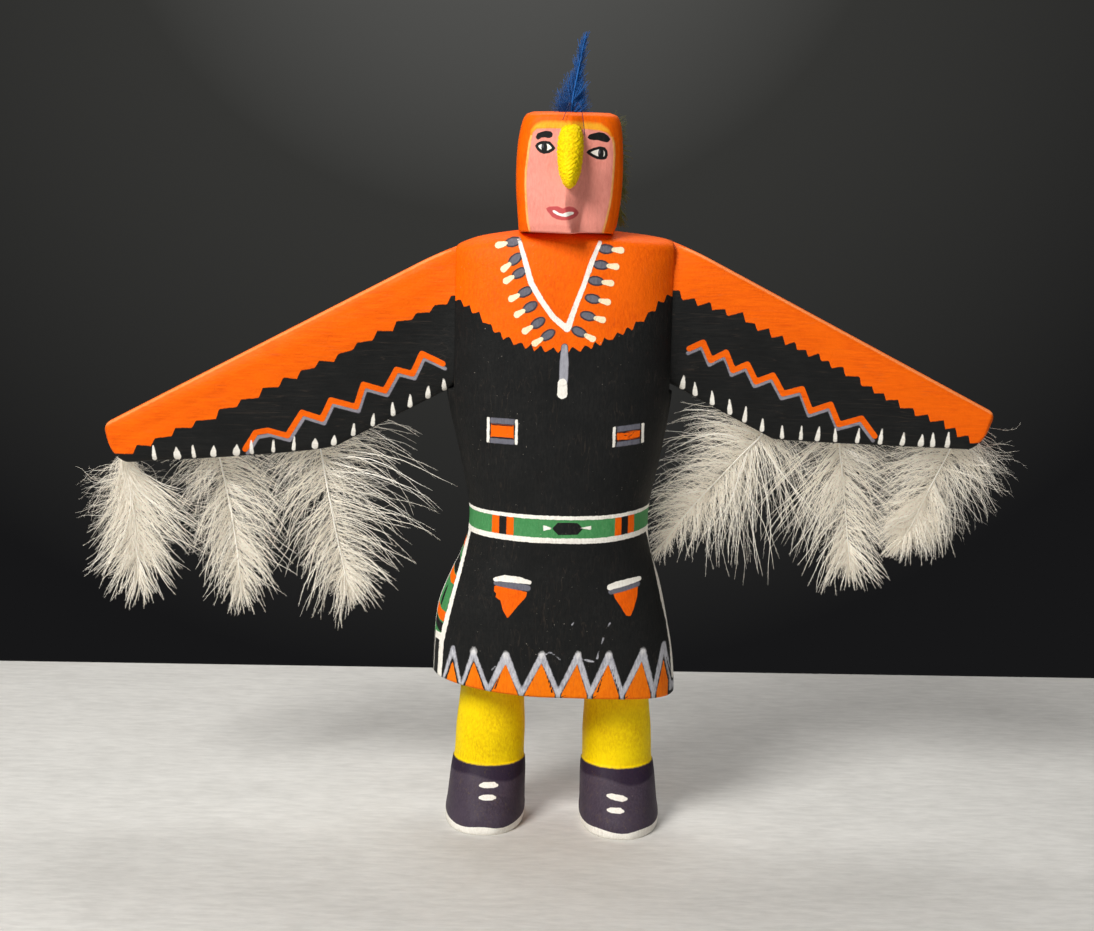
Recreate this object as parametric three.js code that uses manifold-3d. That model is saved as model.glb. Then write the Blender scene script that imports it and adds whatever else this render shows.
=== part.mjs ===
// Kachina doll of an eagle dancer: a painted wooden figure with two glued-on board wings,
// six white down feathers behind the wings, a blue crest feather and a nape feather.
// Millimetres. +Z is up, the figure faces -Y, and its own right-hand wing is at -X.
import * as THREE from 'three';
import { mergeVertices } from 'three/addons/utils/BufferGeometryUtils.js';
import Module from 'manifold-3d';

// Clearances
const glueGap = 0.3; // between touching pieces
const quillPlay = 0.3; // around a quill in its socket

// Feet and legs
const footLength = 48;
const footWidth = 33;
const footGap = 23; // between the two moccasins
const heelBack = 18; // heel behind the figure's middle
const leftFootLead = 1.5; // the figure's left foot, at +X, stands this far ahead
const toeHeight = 7;
const ankleHeight = 25;
const ankleDiameter = 29.9;
const kneeDiameter = 26.5;
const ankleInward = 1.4; // the ankle is this much nearer the middle than the moccasin
const kneeInward = 2.4;

// Kilt, belt and body
const hemHeight = 58;
const hemWidth = 100;
const hemDepth = 55;
const hemDrop = 7; // the hem hangs this much lower at +X than at -X
const hemDropCurve = 1.8; // 1 is a straight slope; above it the drop is mostly at the sides
const beltHeight = 121.8; // lower edge of the belt
const beltBand = 10.6;
const beltWidth = 73.4;
const beltDepth = 54;
const armpitHeight = 178;
const chestWidth = 90.6;
const chestDepth = 51;
const shoulderHeight = 242.9;
const seatSpread = 86; // between the two flats that the wings are glued to

// Head: it is set into the shoulders, and the crown is at about 289
const headHeight = 47.8; // chin to crown
const chinSink = 1.3; // the jaw is this far below the top of the shoulders
const chinRise = 2.2; // the chin's front edge is this much higher than the jaw
const headWidth = 41.5;
const headShift = 0.95; // the head sits this far towards +X
const faceFront = 25; // cheeks ahead of the figure's middle
const headBack = 17;
const noseRidge = 5; // rise of the ridge where the two planes of the face meet
const beakLength = 25;
const beakWidth = 10.2;
const beakRise = 6.5; // beak in front of the nose ridge
const beakDrop = 3.5; // its root is this far below the crown
const chinHeight = shoulderHeight - chinSink;
const figureHeight = chinHeight + headHeight;

// Wings: each reaches this far from the figure's middle, and its corners are shares of its
// reach and of the shoulders' height
const wingTopThickness = 14;
const wingLowerThickness = 6;
const wingForward = 3; // the boards stand this far ahead of the figure's middle
const edgeSquareness = 5; // of the board's section, where 2 is an oval
const tipCornerRound = 3;
const tipTurn = 9; // the lower edge starts to turn up this far before the tip
const rightWingReach = 184.2;
const leftWingReach = 174.6;
const wings = [
  wingBoard('wing_right', -1, rightWingReach, [0.9765, 0.7413, 0.64, 0.665, 0.602], 0.482),
  wingBoard('wing_left', 1, leftWingReach, [0.9915, 0.7544, 0.665, 0.716, 0.6555], 0.49),
];

function wingBoard(name, side, tipOut, heights, elbowShare) {
  const [rootTop, rootBottom, elbowHeight, tipTop, tipBottom] = heights.map(
    (share) => share * shoulderHeight,
  );
  const elbowOut = elbowShare * tipOut;
  return { name, side, tipOut, rootTop, rootBottom, elbowOut, elbowHeight, tipTop, tipBottom };
}

// Down feathers hang behind the wings' lower edges, each on one of the two wings. `out` is
// where the quill leaves that edge, as a share of the wing's reach. The others are shares of
// the feather length: `long`, the widths `inner` and `outer` of the two sides of the vane,
// and `drift`, how far the tip swings away from the body (towards it when negative).
// `layer` counts the steps that the vane stands behind the board.
const downLength = 66; // of the longest, below the wing's lower edge
const layerStep = 4;
const quillRadius = 0.8;
const quillGrip = 8; // length of quill glued above the wing's lower edge
const vaneThickness = 3;
const downFeathers = [
  ['feather_right_outer', 0, 0.963, 0.97, 0.41, 0.36, -0.12, 0],
  ['feather_right_middle', 0, 0.757, 1, 0.38, 0.39, -0.12, 1],
  ['feather_right_inner', 0, 0.525, 1, 0.64, 0.36, -0.15, 0],
  ['feather_left_inner', 1, 0.451, 1, 0.4, 0.3, -0.3, 0],
  ['feather_left_middle', 1, 0.65, 0.985, 0.39, 0.27, 0.12, 1],
  ['feather_left_outer', 1, 0.901, 0.8, 0.41, 0.45, -0.17, 0],
].map(([name, wing, out, long, inner, outer, drift, layer]) => (
  { name, wing, out, long, inner, outer, drift, layer }
));

// Crest feather, upright in a socket in the crown
const crestLength = 31; // above the crown
const crestWidth = 12;
const crestThickness = 2.4;
const crestLean = 5; // tip towards +X
const crestAhead = 6; // socket ahead of the figure's middle
const socketDepth = 4;

// Nape feather, glued to the back of the head near the crown
const napeShare = 0.93; // its length as a share of the head's height
const napeWidth = 15;
const napeThickness = 2.4;
const napeDrop = 3; // the quill's end is this far below the crown
const napeOut = 15; // its quill is this far towards +X
const napeDrift = 8;

// Facets
const bodySides = 32;
const legSides = 22;
const featherSides = 8;
const lobes = 7; // tufts along each edge of a feather

const wasm = await Module();
wasm.setup();

// Turns a closed three.js geometry into a solid, and a solid back into a geometry
function solidOf(geometry) {
  const bare = geometry.clone();
  bare.deleteAttribute('normal');
  bare.deleteAttribute('uv');
  const merged = mergeVertices(bare, 1e-5);
  return new wasm.Manifold(new wasm.Mesh({
    numProp: 3,
    vertProperties: new Float32Array(merged.attributes.position.array),
    triVerts: new Uint32Array(merged.index.array),
  }));
}

function geometryOf(solid) {
  const mesh = solid.getMesh();
  const geometry = new THREE.BufferGeometry();
  geometry.setAttribute('position', new THREE.BufferAttribute(mesh.vertProperties, 3));
  geometry.setIndex(new THREE.BufferAttribute(mesh.triVerts, 1));
  geometry.computeVertexNormals();
  return geometry;
}

// Moves every vertex of a geometry by a function of its place
function reshape(geometry, move) {
  const place = geometry.attributes.position;
  const point = new THREE.Vector3();
  for (let i = 0; i < place.count; i += 1) {
    point.fromBufferAttribute(place, i);
    move(point);
    place.setXYZ(i, point.x, point.y, point.z);
  }
  return geometry;
}

// One coordinate of a circle's point, pushed out towards a square
function squared(value, squareness) {
  const clean = Math.round(value * 1e6) / 1e6;
  return Math.sign(clean) * Math.abs(clean) ** (2 / squareness);
}

// Lofts a closed solid upwards through stations: [height, left, right, front, back, squareness].
// Left, right, front and back are distances from the axis, and a squareness of 2 is an oval.
function loft(stations, sides, stepsBetween, carve = () => {}) {
  const heights = stations.map((station) => station[0]);
  const sizes = stations.flatMap((station) => station.slice(1));
  const outline = new THREE.CubicInterpolant(heights, sizes, stations[0].length - 1);
  const layers = (stations.length - 1) * stepsBetween;
  const rod = new THREE.CylinderGeometry(1, 1, 1, sides, layers).rotateX(Math.PI / 2);
  return solidOf(reshape(rod, (point) => {
    const step = Math.min((point.z + 0.5) * layers, layers - 1e-6);
    const station = Math.floor(step / stepsBetween + 1e-9);
    const share = step / stepsBetween - station;
    const height = THREE.MathUtils.lerp(heights[station], heights[station + 1], share);
    const [left, right, front, back, squareness] = outline.evaluate(height);
    const across = squared(point.x, squareness) * (point.x < 0 ? left : right);
    const along = squared(point.y, squareness) * (point.y < 0 ? front : back);
    point.set(across, along, height);
    carve(point);
  }));
}

// Kilt and torso, from the sloping hem to the domed shoulders
function torsoSolid() {
  const beltTop = beltHeight + beltBand;
  const kilt = beltHeight - hemHeight;
  const ribs = armpitHeight - beltTop;
  const dome = shoulderHeight - armpitHeight;
  const half = chestWidth / 2;
  const hem = hemWidth / 2;
  const waist = beltWidth / 2;
  const depth = chestDepth / 2;
  const stations = [
    [hemHeight, hem * 1.01, hem * 0.99, hemDepth * 0.52, hemDepth * 0.48, 2.3],
    [hemHeight + kilt * 0.24, hem, hem * 0.965, hemDepth * 0.52, hemDepth * 0.48, 2.3],
    [hemHeight + kilt * 0.5, hem * 0.965, hem * 0.9, hemDepth * 0.515, hemDepth * 0.475, 2.25],
    [hemHeight + kilt * 0.7, hem * 0.87, hem * 0.84, hemDepth * 0.51, hemDepth * 0.465, 2.2],
    [hemHeight + kilt * 0.85, hem * 0.785, hem * 0.775, hemDepth * 0.51, hemDepth * 0.455, 2.15],
    [beltHeight, waist, waist, beltDepth * 0.53, beltDepth * 0.46, 2.1],
    [beltTop, waist, waist, beltDepth * 0.5, beltDepth * 0.45, 2.1],
    [beltTop + ribs * 0.5, half * 0.91, half * 0.905, chestDepth * 0.52, chestDepth * 0.46, 2.2],
    [armpitHeight, half * 1.02, half * 0.98, depth, chestDepth * 0.47, 2.3],
    [armpitHeight + dome * 0.45, half * 1.02, half, depth * 0.96, chestDepth * 0.46, 2.3],
    [armpitHeight + dome * 0.75, half, half, depth * 0.88, chestDepth * 0.42, 2.3],
    [armpitHeight + dome * 0.885, half * 0.97, half * 1.01, depth * 0.82, chestDepth * 0.37, 2.3],
    [armpitHeight + dome * 0.95, half * 0.78, half * 0.95, depth * 0.78, chestDepth * 0.33, 2.3],
    [armpitHeight + dome * 0.98, half * 0.57, half * 0.76, depth * 0.72, chestDepth * 0.29, 2.2],
    [shoulderHeight, half * 0.38, half * 0.5, depth * 0.6, chestDepth * 0.22, 2.1],
  ];
  return loft(stations, bodySides, 2, (point) => {
    const fall = THREE.MathUtils.clamp((beltHeight - point.z) / kilt, 0, 1);
    const aside = Math.abs(point.x / hem) ** hemDropCurve * Math.sign(point.x);
    point.z -= fall * (hemDrop / 2) * aside;
  });
}

// Head: a block with rounded corners whose face is two planes meeting in a nose ridge
function headSolid() {
  const half = headWidth / 2;
  const tall = figureHeight - chinHeight;
  const stump = chinHeight - headHeight * 0.1; // the head's root inside the shoulders
  const jawShare = 0.12; // the chin's rise dies out over this share of the head
  const stations = [
    [stump, half * 0.8, half * 0.8, faceFront * 0.4, headBack * 0.7, 2.6],
    [chinHeight - 0.02, half * 0.86, half * 0.86, faceFront * 0.45, headBack * 0.8, 2.8],
    [chinHeight, half * 0.93, half * 0.86, faceFront * 0.97, headBack * 0.86, 6],
    [chinHeight + tall * jawShare, half * 0.95, half * 0.93, faceFront, headBack * 0.95, 6],
    [chinHeight + tall * 0.4, half, half, faceFront, headBack, 6],
    [chinHeight + tall * 0.7, half * 0.99, half, faceFront, headBack, 6],
    [chinHeight + tall * 0.9, half * 0.92, half * 0.955, faceFront * 0.985, headBack * 0.96, 5.5],
    [chinHeight + tall * 0.98, half * 0.83, half * 0.88, faceFront * 0.95, headBack * 0.85, 5],
    [figureHeight, half * 0.7, half * 0.76, faceFront * 0.88, headBack * 0.75, 4.5],
  ];
  return loft(stations, bodySides, 1, (point) => {
    const height = THREE.MathUtils.clamp((point.z - chinHeight) / tall, 0, 1);
    const flank = Math.abs(point.x) / half;
    const onFace = point.y < -faceFront * 0.6 && point.z >= chinHeight ? 1 : 0;
    const steep = point.x > 0 ? 1.7 : 1; // the +X plane falls away faster beside the ridge
    point.y -= onFace * noseRidge * (1 - height * 0.75) * Math.max(0, 1 - flank) ** steep;
    const atChin = Math.max(0, 1 - height / jawShare) * Math.max(0, -point.y / faceFront);
    point.z += point.z < chinHeight - 0.01 ? 0 : chinRise * atChin;
    point.x += headShift;
  });
}

// Beak: a rounded wedge that runs down the forehead and ends in an overhanging tip
function beakSolid() {
  const half = beakWidth / 2;
  const top = figureHeight - beakDrop;
  const rise = faceFront + noseRidge + beakRise;
  const inside = -faceFront * 0.76; // how deep its back lies in the head
  const stations = [
    [top - beakLength, half * 0.12, half * 0.12, rise - beakRise * 0.46, inside * 1.2, 2],
    [top - beakLength * 0.9, half * 0.42, half * 0.42, rise - beakRise * 0.1, inside, 2],
    [top - beakLength * 0.75, half * 0.72, half * 0.72, rise - beakRise * 0.05, inside, 2],
    [top - beakLength * 0.5, half * 0.95, half * 0.95, rise - beakRise * 0.3, inside, 2.1],
    [top - beakLength * 0.25, half, half, rise - beakRise * 0.74, inside, 2.2],
    [top - beakLength * 0.08, half * 0.85, half * 0.85, rise - beakRise * 1.2, inside, 2.2],
    [top, half * 0.5, half * 0.5, rise - beakRise * 1.57, inside, 2.1],
  ];
  return loft(stations, 14, 1, (point) => {
    point.x += headShift;
  });
}

// One leg with its moccasin; `side` is -1 at -X and 1 at +X
function legSolid(side) {
  const middle = side * (footGap + footWidth) / 2;
  const lead = side > 0 ? leftFootLead : 0;
  const toe = footLength - heelBack + lead;
  const heel = heelBack - lead;
  const wide = footWidth / 2;
  const instep = ankleHeight - toeHeight;
  const shin = ankleDiameter / 2;
  const knee = kneeDiameter / 2;
  const kneeTop = (hemHeight + hemDrop) * 1.06; // inside the kilt
  const lean = (point) => {
    const low = THREE.MathUtils.clamp(point.z / ankleHeight, 0, 1);
    const high = THREE.MathUtils.clamp((point.z - ankleHeight) / (hemHeight - ankleHeight), 0, 1);
    point.x -= side * (ankleInward * low + (kneeInward - ankleInward) * high);
  };
  const shoe = loft([
    [0, wide, wide, toe, heel, 2.3],
    [toeHeight * 0.5, wide, wide, toe * 0.99, heel, 2.3],
    [toeHeight, wide * 0.98, wide * 0.98, toe * 0.945, heel * 0.98, 2.2],
    [toeHeight + instep * 0.35, wide * 0.96, wide * 0.96, toe * 0.8, heel * 0.95, 2.15],
    [toeHeight + instep * 0.7, wide * 0.94, wide * 0.94, toe * 0.62, heel * 0.9, 2.1],
    [ankleHeight, shin, shin, shin * 1.02, shin, 2],
  ], legSides, 1, lean);
  const leg = loft([
    [ankleHeight * 0.88, shin * 0.98, shin * 0.98, shin, shin * 0.95, 2],
    [ankleHeight * 0.6 + hemHeight * 0.4, shin * 0.95, shin * 0.95, shin * 0.93, shin * 0.93, 2],
    [hemHeight * 0.9, knee, knee, knee, knee, 2],
    [kneeTop, knee, knee, knee, knee, 2],
  ], legSides, 1, lean);
  return shoe.add(leg).translate([middle, 0, 0]);
}

// Upper edge of a wing board at a distance from the figure's middle, rounded at the tip
function upperEdge(wing, out) {
  const fall = (wing.rootTop - wing.tipTop) / (wing.tipOut - seatSpread / 2);
  const turn = Math.max(0, out - (wing.tipOut - tipCornerRound)) / tipCornerRound;
  const rounding = tipCornerRound * (1 - Math.sqrt(Math.max(0, 1 - turn ** 2)));
  return wing.rootTop - fall * (out - seatSpread / 2) - rounding;
}

// Lower edge: a straight fall to the elbow, a slow sag beyond it, and a round tip
function lowerEdge(wing, out) {
  if (out < wing.elbowOut) {
    const share = (out - seatSpread / 2) / (wing.elbowOut - seatSpread / 2);
    return THREE.MathUtils.lerp(wing.rootBottom, wing.elbowHeight, share);
  }
  const turnStart = wing.tipOut - tipTurn;
  const share = Math.min(1, (out - wing.elbowOut) / (turnStart - wing.elbowOut));
  const turn = Math.max(0, out - turnStart) / tipTurn;
  const tipHeight = wing.tipTop - tipCornerRound - wing.tipBottom;
  const rounding = 0.85 * tipHeight * (1 - Math.sqrt(Math.max(0, 1 - turn ** 2)));
  return THREE.MathUtils.lerp(wing.elbowHeight, wing.tipBottom, share ** 0.6) + rounding;
}

// Half the board's thickness at a point: thick under the top edge and thin at the lower one
function wingHalfThickness(wing, out, height) {
  const share = (upperEdge(wing, out) - height) / (wing.rootTop - wing.rootBottom);
  const clamped = THREE.MathUtils.clamp(share, 0, 1);
  return THREE.MathUtils.lerp(wingTopThickness, wingLowerThickness, clamped) / 2;
}

// A wing board with rounded edges, lofted outwards from its flat glued root
function wingSolid(wing) {
  const rootOut = seatSpread / 2 + glueGap;
  const board = new THREE.CylinderGeometry(1, 1, 1, 16, 20).rotateZ(-wing.side * Math.PI / 2);
  return solidOf(reshape(board, (point) => {
    const share = wing.side * point.x + 0.5;
    const out = THREE.MathUtils.lerp(rootOut, wing.tipOut, 1 - (1 - share) ** 1.7);
    const [top, bottom] = [upperEdge(wing, out), lowerEdge(wing, out)];
    const up = squared(point.z, edgeSquareness);
    const height = (top + bottom) / 2 + up * (top - bottom) / 2;
    const tipThinning = 1 - 0.45 * share ** 24;
    const half = wingHalfThickness(wing, out, height) * tipThinning;
    const deep = squared(point.y, edgeSquareness) * half - wingForward;
    point.set(wing.side * out, deep, height);
  }));
}

// The notch in each side of the body that a wing is glued into
function seatSolid(wing) {
  const ledge = lowerEdge(wing, chestWidth / 2 + 1) - glueGap;
  const notch = new THREE.BoxGeometry(chestWidth, hemDepth * 2, figureHeight);
  notch.translate(wing.side * (seatSpread + chestWidth) / 2, 0, ledge + figureHeight / 2);
  return solidOf(notch);
}

// A feather standing along +Z from 0 to its length: a thin vane with tufted edges on a quill.
// `left` and `right` are vane widths, `bend` moves the tip sideways, `bare` is naked quill,
// `fullest` is how far up the vane is widest, and a low `point` makes the ends blunt.
function featherSolid({ length, left, right, bend, bare, thickness, fullest, point: sharp }) {
  const layers = lobes * 3;
  const vane = new THREE.CylinderGeometry(1, 1, 1, featherSides, layers).rotateX(Math.PI / 2);
  reshape(vane, (point) => {
    const share = THREE.MathUtils.clamp(point.z + 0.5, 0.004, 1);
    const climb = share ** (Math.log(0.5) / Math.log(fullest));
    const fullness = Math.sin(Math.PI * Math.min(climb, 0.985)) ** sharp;
    const tuft = 1 - 0.16 * Math.abs(((share * lobes) % 1) - 0.35);
    const width = (point.x < 0 ? left : right) * fullness * tuft;
    const height = bare + (length - bare) * share;
    const thin = thickness / 2 * (0.25 + 0.75 * fullness);
    point.set(point.x * width + bend * (height / length) ** 1.6, point.y * thin, height);
  });
  const quill = new THREE.CylinderGeometry(quillRadius * 0.5, quillRadius, length * 0.8, 6, 4);
  quill.rotateX(Math.PI / 2).translate(0, 0, length * 0.4);
  reshape(quill, (point) => {
    point.x += bend * Math.max(0, point.z / length) ** 1.6;
  });
  return solidOf(vane).add(solidOf(quill));
}

// A down feather hanging behind a wing's lower edge
function downFeatherMesh(feather) {
  const wing = wings[feather.wing];
  const out = feather.out * wing.tipOut;
  const edge = lowerEdge(wing, out);
  const inner = feather.inner * downLength;
  const outer = feather.outer * downLength;
  const solid = featherSolid({
    length: feather.long * downLength + quillGrip,
    left: wing.side < 0 ? inner : outer,
    right: wing.side < 0 ? outer : inner,
    bend: -wing.side * feather.drift * downLength,
    bare: quillGrip + glueGap * 3,
    thickness: vaneThickness,
    fullest: 0.44,
    point: 0.4,
  });
  const geometry = reshape(geometryOf(solid), (point) => {
    const below = (point.z - quillGrip) / (downLength * 0.2);
    point.y += feather.layer * layerStep * THREE.MathUtils.smoothstep(below, 0, 1);
  });
  const back = wingHalfThickness(wing, out, edge + quillGrip) - wingForward;
  const mesh = new THREE.Mesh(geometry, downMaterial());
  mesh.name = feather.name;
  mesh.rotation.y = Math.PI;
  mesh.position.set(wing.side * out, back + glueGap + quillRadius, edge + quillGrip);
  return mesh;
}

function crestMesh() {
  const solid = featherSolid({
    length: crestLength + socketDepth - glueGap,
    left: crestWidth / 2,
    right: crestWidth / 2,
    bend: crestLean,
    bare: socketDepth + glueGap * 3,
    thickness: crestThickness,
    fullest: 0.25,
    point: 0.8,
  });
  const mesh = new THREE.Mesh(geometryOf(solid), blueMaterial());
  mesh.name = 'crest_feather';
  mesh.position.set(headShift, -crestAhead, figureHeight - socketDepth + glueGap);
  return mesh;
}

function crestSocket() {
  const radius = quillRadius + quillPlay;
  const drill = new THREE.CylinderGeometry(radius, radius, socketDepth * 2, 12);
  drill.rotateX(Math.PI / 2).translate(headShift, -crestAhead, figureHeight);
  return solidOf(drill);
}

function napeMesh() {
  const solid = featherSolid({
    length: napeShare * headHeight,
    left: napeWidth / 2,
    right: napeWidth / 2,
    bend: -napeDrift,
    bare: napeDrop,
    thickness: napeThickness,
    fullest: 0.44,
    point: 0.4,
  });
  const mesh = new THREE.Mesh(geometryOf(solid), greenMaterial());
  mesh.name = 'nape_feather';
  mesh.rotation.y = Math.PI;
  mesh.position.set(napeOut, headBack + glueGap + napeThickness / 2, figureHeight - napeDrop);
  return mesh;
}

// Materials
function paintMaterial() {
  return new THREE.MeshStandardMaterial({ color: 0xe8640f, roughness: 0.75, metalness: 0 });
}

function downMaterial() {
  return new THREE.MeshStandardMaterial({ color: 0xddd6c8, roughness: 0.9, metalness: 0 });
}

function blueMaterial() {
  return new THREE.MeshStandardMaterial({ color: 0x1d3f78, roughness: 0.85, metalness: 0 });
}

function greenMaterial() {
  return new THREE.MeshStandardMaterial({ color: 0x8a9a35, roughness: 0.85, metalness: 0 });
}

// The carved figure is one piece of wood: body, head, beak, legs and moccasins
function figureMesh() {
  let solid = torsoSolid().add(headSolid()).add(beakSolid());
  for (const wing of wings) {
    solid = solid.subtract(seatSolid(wing));
  }
  solid = solid.add(legSolid(-1)).add(legSolid(1)).subtract(crestSocket());
  const mesh = new THREE.Mesh(geometryOf(solid), paintMaterial());
  mesh.name = 'figure';
  return mesh;
}

function wingMesh(wing) {
  const mesh = new THREE.Mesh(geometryOf(wingSolid(wing)), paintMaterial());
  mesh.name = wing.name;
  return mesh;
}

// The whole doll, moved so that the middle of its underside's box is the origin
const doll = new THREE.Group();
doll.add(figureMesh());
for (const wing of wings) {
  doll.add(wingMesh(wing));
}
for (const feather of downFeathers) {
  doll.add(downFeatherMesh(feather));
}
doll.add(crestMesh());
doll.add(napeMesh());
const middle = new THREE.Box3().setFromObject(doll, true).getCenter(new THREE.Vector3());
doll.position.set(-middle.x, -middle.y, 0);
const root = new THREE.Group();
root.add(doll);

export default root;
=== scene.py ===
# %% [markdown]
# # A kachina doll of an eagle dancer
# The real doll is carved from soft wood and painted by hand. Two wing boards are glued into
# its sides, six white down feathers hang behind them, a blue feather stands on its crown and
# a green one hangs at its nape. The solids of the part are already there when this script
# starts. The script covers each of them with a fine surface of its own, paints it, and sets
# it on a pale table in soft light.
#
# The first cell loads those solids.

# %% Load the solids
import math

import bpy
import numpy as np
from mathutils import Matrix, Vector


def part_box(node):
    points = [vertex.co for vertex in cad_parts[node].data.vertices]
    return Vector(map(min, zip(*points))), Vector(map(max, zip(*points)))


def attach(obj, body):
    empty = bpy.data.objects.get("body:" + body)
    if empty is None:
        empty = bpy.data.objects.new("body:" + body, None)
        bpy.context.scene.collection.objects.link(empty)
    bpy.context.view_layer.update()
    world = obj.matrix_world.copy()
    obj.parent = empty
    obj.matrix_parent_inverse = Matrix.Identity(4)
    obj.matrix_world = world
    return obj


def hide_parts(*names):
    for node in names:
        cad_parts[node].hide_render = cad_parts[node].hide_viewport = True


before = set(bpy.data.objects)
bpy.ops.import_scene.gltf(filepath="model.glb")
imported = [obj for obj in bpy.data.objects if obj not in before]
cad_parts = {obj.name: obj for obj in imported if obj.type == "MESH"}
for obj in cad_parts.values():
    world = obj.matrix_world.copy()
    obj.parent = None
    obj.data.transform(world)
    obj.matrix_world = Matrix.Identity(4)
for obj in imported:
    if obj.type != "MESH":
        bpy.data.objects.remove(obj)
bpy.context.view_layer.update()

print("solids:", ", ".join(sorted(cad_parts)))

# %% [markdown]
# ## Where things are
# A carver measures the doll from its own middle, so every size below is in millimetres from
# the point on the table between the two moccasins, with x to the right of the picture, y
# away from the viewer and z up. Blender needs metres in the part's own frame. Two things
# link the frames: the kilt is half a millimetre wider on one side of that middle, and the
# wing boards stand three millimetres ahead of it.

# %% The doll's own millimetres
MM = 0.001
KILT_OFFSET = 0.5
WING_FORWARD = 3.0


def solid_box(node):
    """Lowest and highest corner of one solid, in millimetres of the part's frame."""
    low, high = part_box(node)
    return np.array(low) / MM, np.array(high) / MM


figure_low, figure_high = solid_box("figure")
board_low, board_high = solid_box("wing_right")
MIDDLE = np.array([
    (figure_low[0] + figure_high[0]) / 2 + KILT_OFFSET,
    (board_low[1] + board_high[1]) / 2 + WING_FORWARD,
    0.0,
])
HEM_WIDTH = figure_high[0] - figure_low[0]
FIGURE_HEIGHT = figure_high[2]
print("middle of the doll at", MIDDLE.round(2), "mm, crown at", FIGURE_HEIGHT.round(1), "mm")

# %% [markdown]
# ## From arrays to meshes
# Each surface of this doll is a function of two numbers, such as the turn around the body
# and the height. Numpy works the function out on a whole grid at once, and Blender takes the
# finished arrays in one go. That is much faster than a Python loop over vertices, and the
# formula stays readable. Rows of the grid run from the bottom up and columns run
# anticlockwise seen from above, so that every face looks outwards.

# %% Mesh helpers
def new_piece(name, corners, quads, triangles, nodes, paint):
    """One mesh object from arrays: `corners` in the doll's millimetres, `quads` and
    `triangles` as rows of corner numbers, `paint` as named numbers for every corner."""
    mesh = bpy.data.meshes.new(name)
    place = (corners + MIDDLE) * MM
    mesh.vertices.add(len(place))
    mesh.vertices.foreach_set("co", place.astype(np.float32).ravel())
    order = np.concatenate([quads.ravel(), triangles.ravel()]).astype(np.int32)
    starts = np.concatenate([
        np.arange(len(quads)) * 4,
        len(quads) * 4 + np.arange(len(triangles)) * 3,
    ]).astype(np.int32)
    mesh.loops.add(len(order))
    mesh.loops.foreach_set("vertex_index", order)
    mesh.polygons.add(len(starts))
    mesh.polygons.foreach_set("loop_start", starts)
    mesh.update(calc_edges=True)
    mesh.validate()
    mesh.shade_smooth()
    for label, values in paint.items():
        layer = mesh.attributes.new(label, "FLOAT", "POINT")
        layer.data.foreach_set("value", np.ravel(values).astype(np.float32))
    piece = bpy.data.objects.new(name, mesh)
    bpy.context.scene.collection.objects.link(piece)
    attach(piece, "root")
    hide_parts(*nodes)
    print(f"{name}: {len(quads) * 2 + len(triangles)} triangles")
    return piece


def skin(points):
    """Corner list and faces of a closed skin from a grid of points (rows, columns, 3).
    The columns close into rings, and a fan of triangles closes the first and last ring."""
    rows, columns = points.shape[:2]
    number = np.arange(rows * columns).reshape(rows, columns)
    ahead = np.roll(number, -1, axis=1)
    quads = np.stack([number[:-1], ahead[:-1], ahead[1:], number[1:]], axis=-1).reshape(-1, 4)
    poles = np.stack([points[0].mean(axis=0), points[-1].mean(axis=0)])
    low = np.stack([np.full(columns, rows * columns), ahead[0], number[0]], axis=-1)
    high = np.stack([np.full(columns, rows * columns + 1), number[-1], ahead[-1]], axis=-1)
    corners = np.concatenate([points.reshape(-1, 3), poles])
    return corners, quads, np.concatenate([low, high])


def carved(name, points, nodes, paint_of, material):
    """A closed skin with its paint: `paint_of(corners)` gives the named layers."""
    corners, quads, triangles = skin(points)
    piece = new_piece(name, corners, quads, triangles, nodes, paint_of(corners))
    piece.data.materials.append(material)
    return piece


print("a skin of 3 rows by 4 columns has", len(skin(np.zeros((3, 4, 3)))[1]), "quads")

# %% [markdown]
# ## Cross-sections
# Everything that was carved here has a section between an oval and a rounded box. That is
# a superellipse: the sum of |x / a| and |y / b|, each raised to a power, is one. A power of 2
# gives an oval and a high power gives a box. The carving tool changes the section slowly
# with height, so a handful of stations with a smooth curve through them is enough.

# %% Curve helpers
def unit(value):
    """The value, held between 0 and 1."""
    return np.clip(value, 0, 1)


def straight(ways, least=1e-9):
    """The same directions, each with the length one; `least` keeps a zero from dividing."""
    return ways / (np.linalg.norm(ways, axis=-1, keepdims=True) + least)


def through(knots, values, at):
    """A smooth curve through the stations: cubic pieces whose slope at each station is the
    slope between its two neighbours. `values` may have several columns."""
    knots, values = np.asarray(knots, float), np.asarray(values, float)
    spans = (knots[2:] - knots[:-2]).reshape(-1, *[1] * (values.ndim - 1))
    inner = (values[2:] - values[:-2]) / spans
    first = (values[1:2] - values[:1]) / (knots[1] - knots[0])
    last = (values[-1:] - values[-2:-1]) / (knots[-1] - knots[-2])
    slope = np.concatenate([first, inner, last])
    at = np.clip(at, knots[0], knots[-1])
    piece = np.clip(np.searchsorted(knots, at, side="right") - 1, 0, len(knots) - 2)
    step = knots[piece + 1] - knots[piece]
    share = (at - knots[piece]) / step
    if values.ndim > 1:
        step, share = step[..., None], share[..., None]
    start, end = values[piece], values[piece + 1]
    return (
        (2 * share**3 - 3 * share**2 + 1) * start
        + (share**3 - 2 * share**2 + share) * step * slope[piece]
        + (3 * share**2 - 2 * share**3) * end
        + (share**3 - share**2) * step * slope[piece + 1]
    )


print("halfway from 1 to 4 the curve through 0, 1 and 4 gives", through([0, 1, 2], [0, 1, 4], 1.5))

# %% [markdown]
# A section is cut out of the circle: each coordinate of the circle's point is pushed out
# towards a square. Points at even angles would crowd at the corners, so the angles are chosen
# for even steps along the outline.

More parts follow.
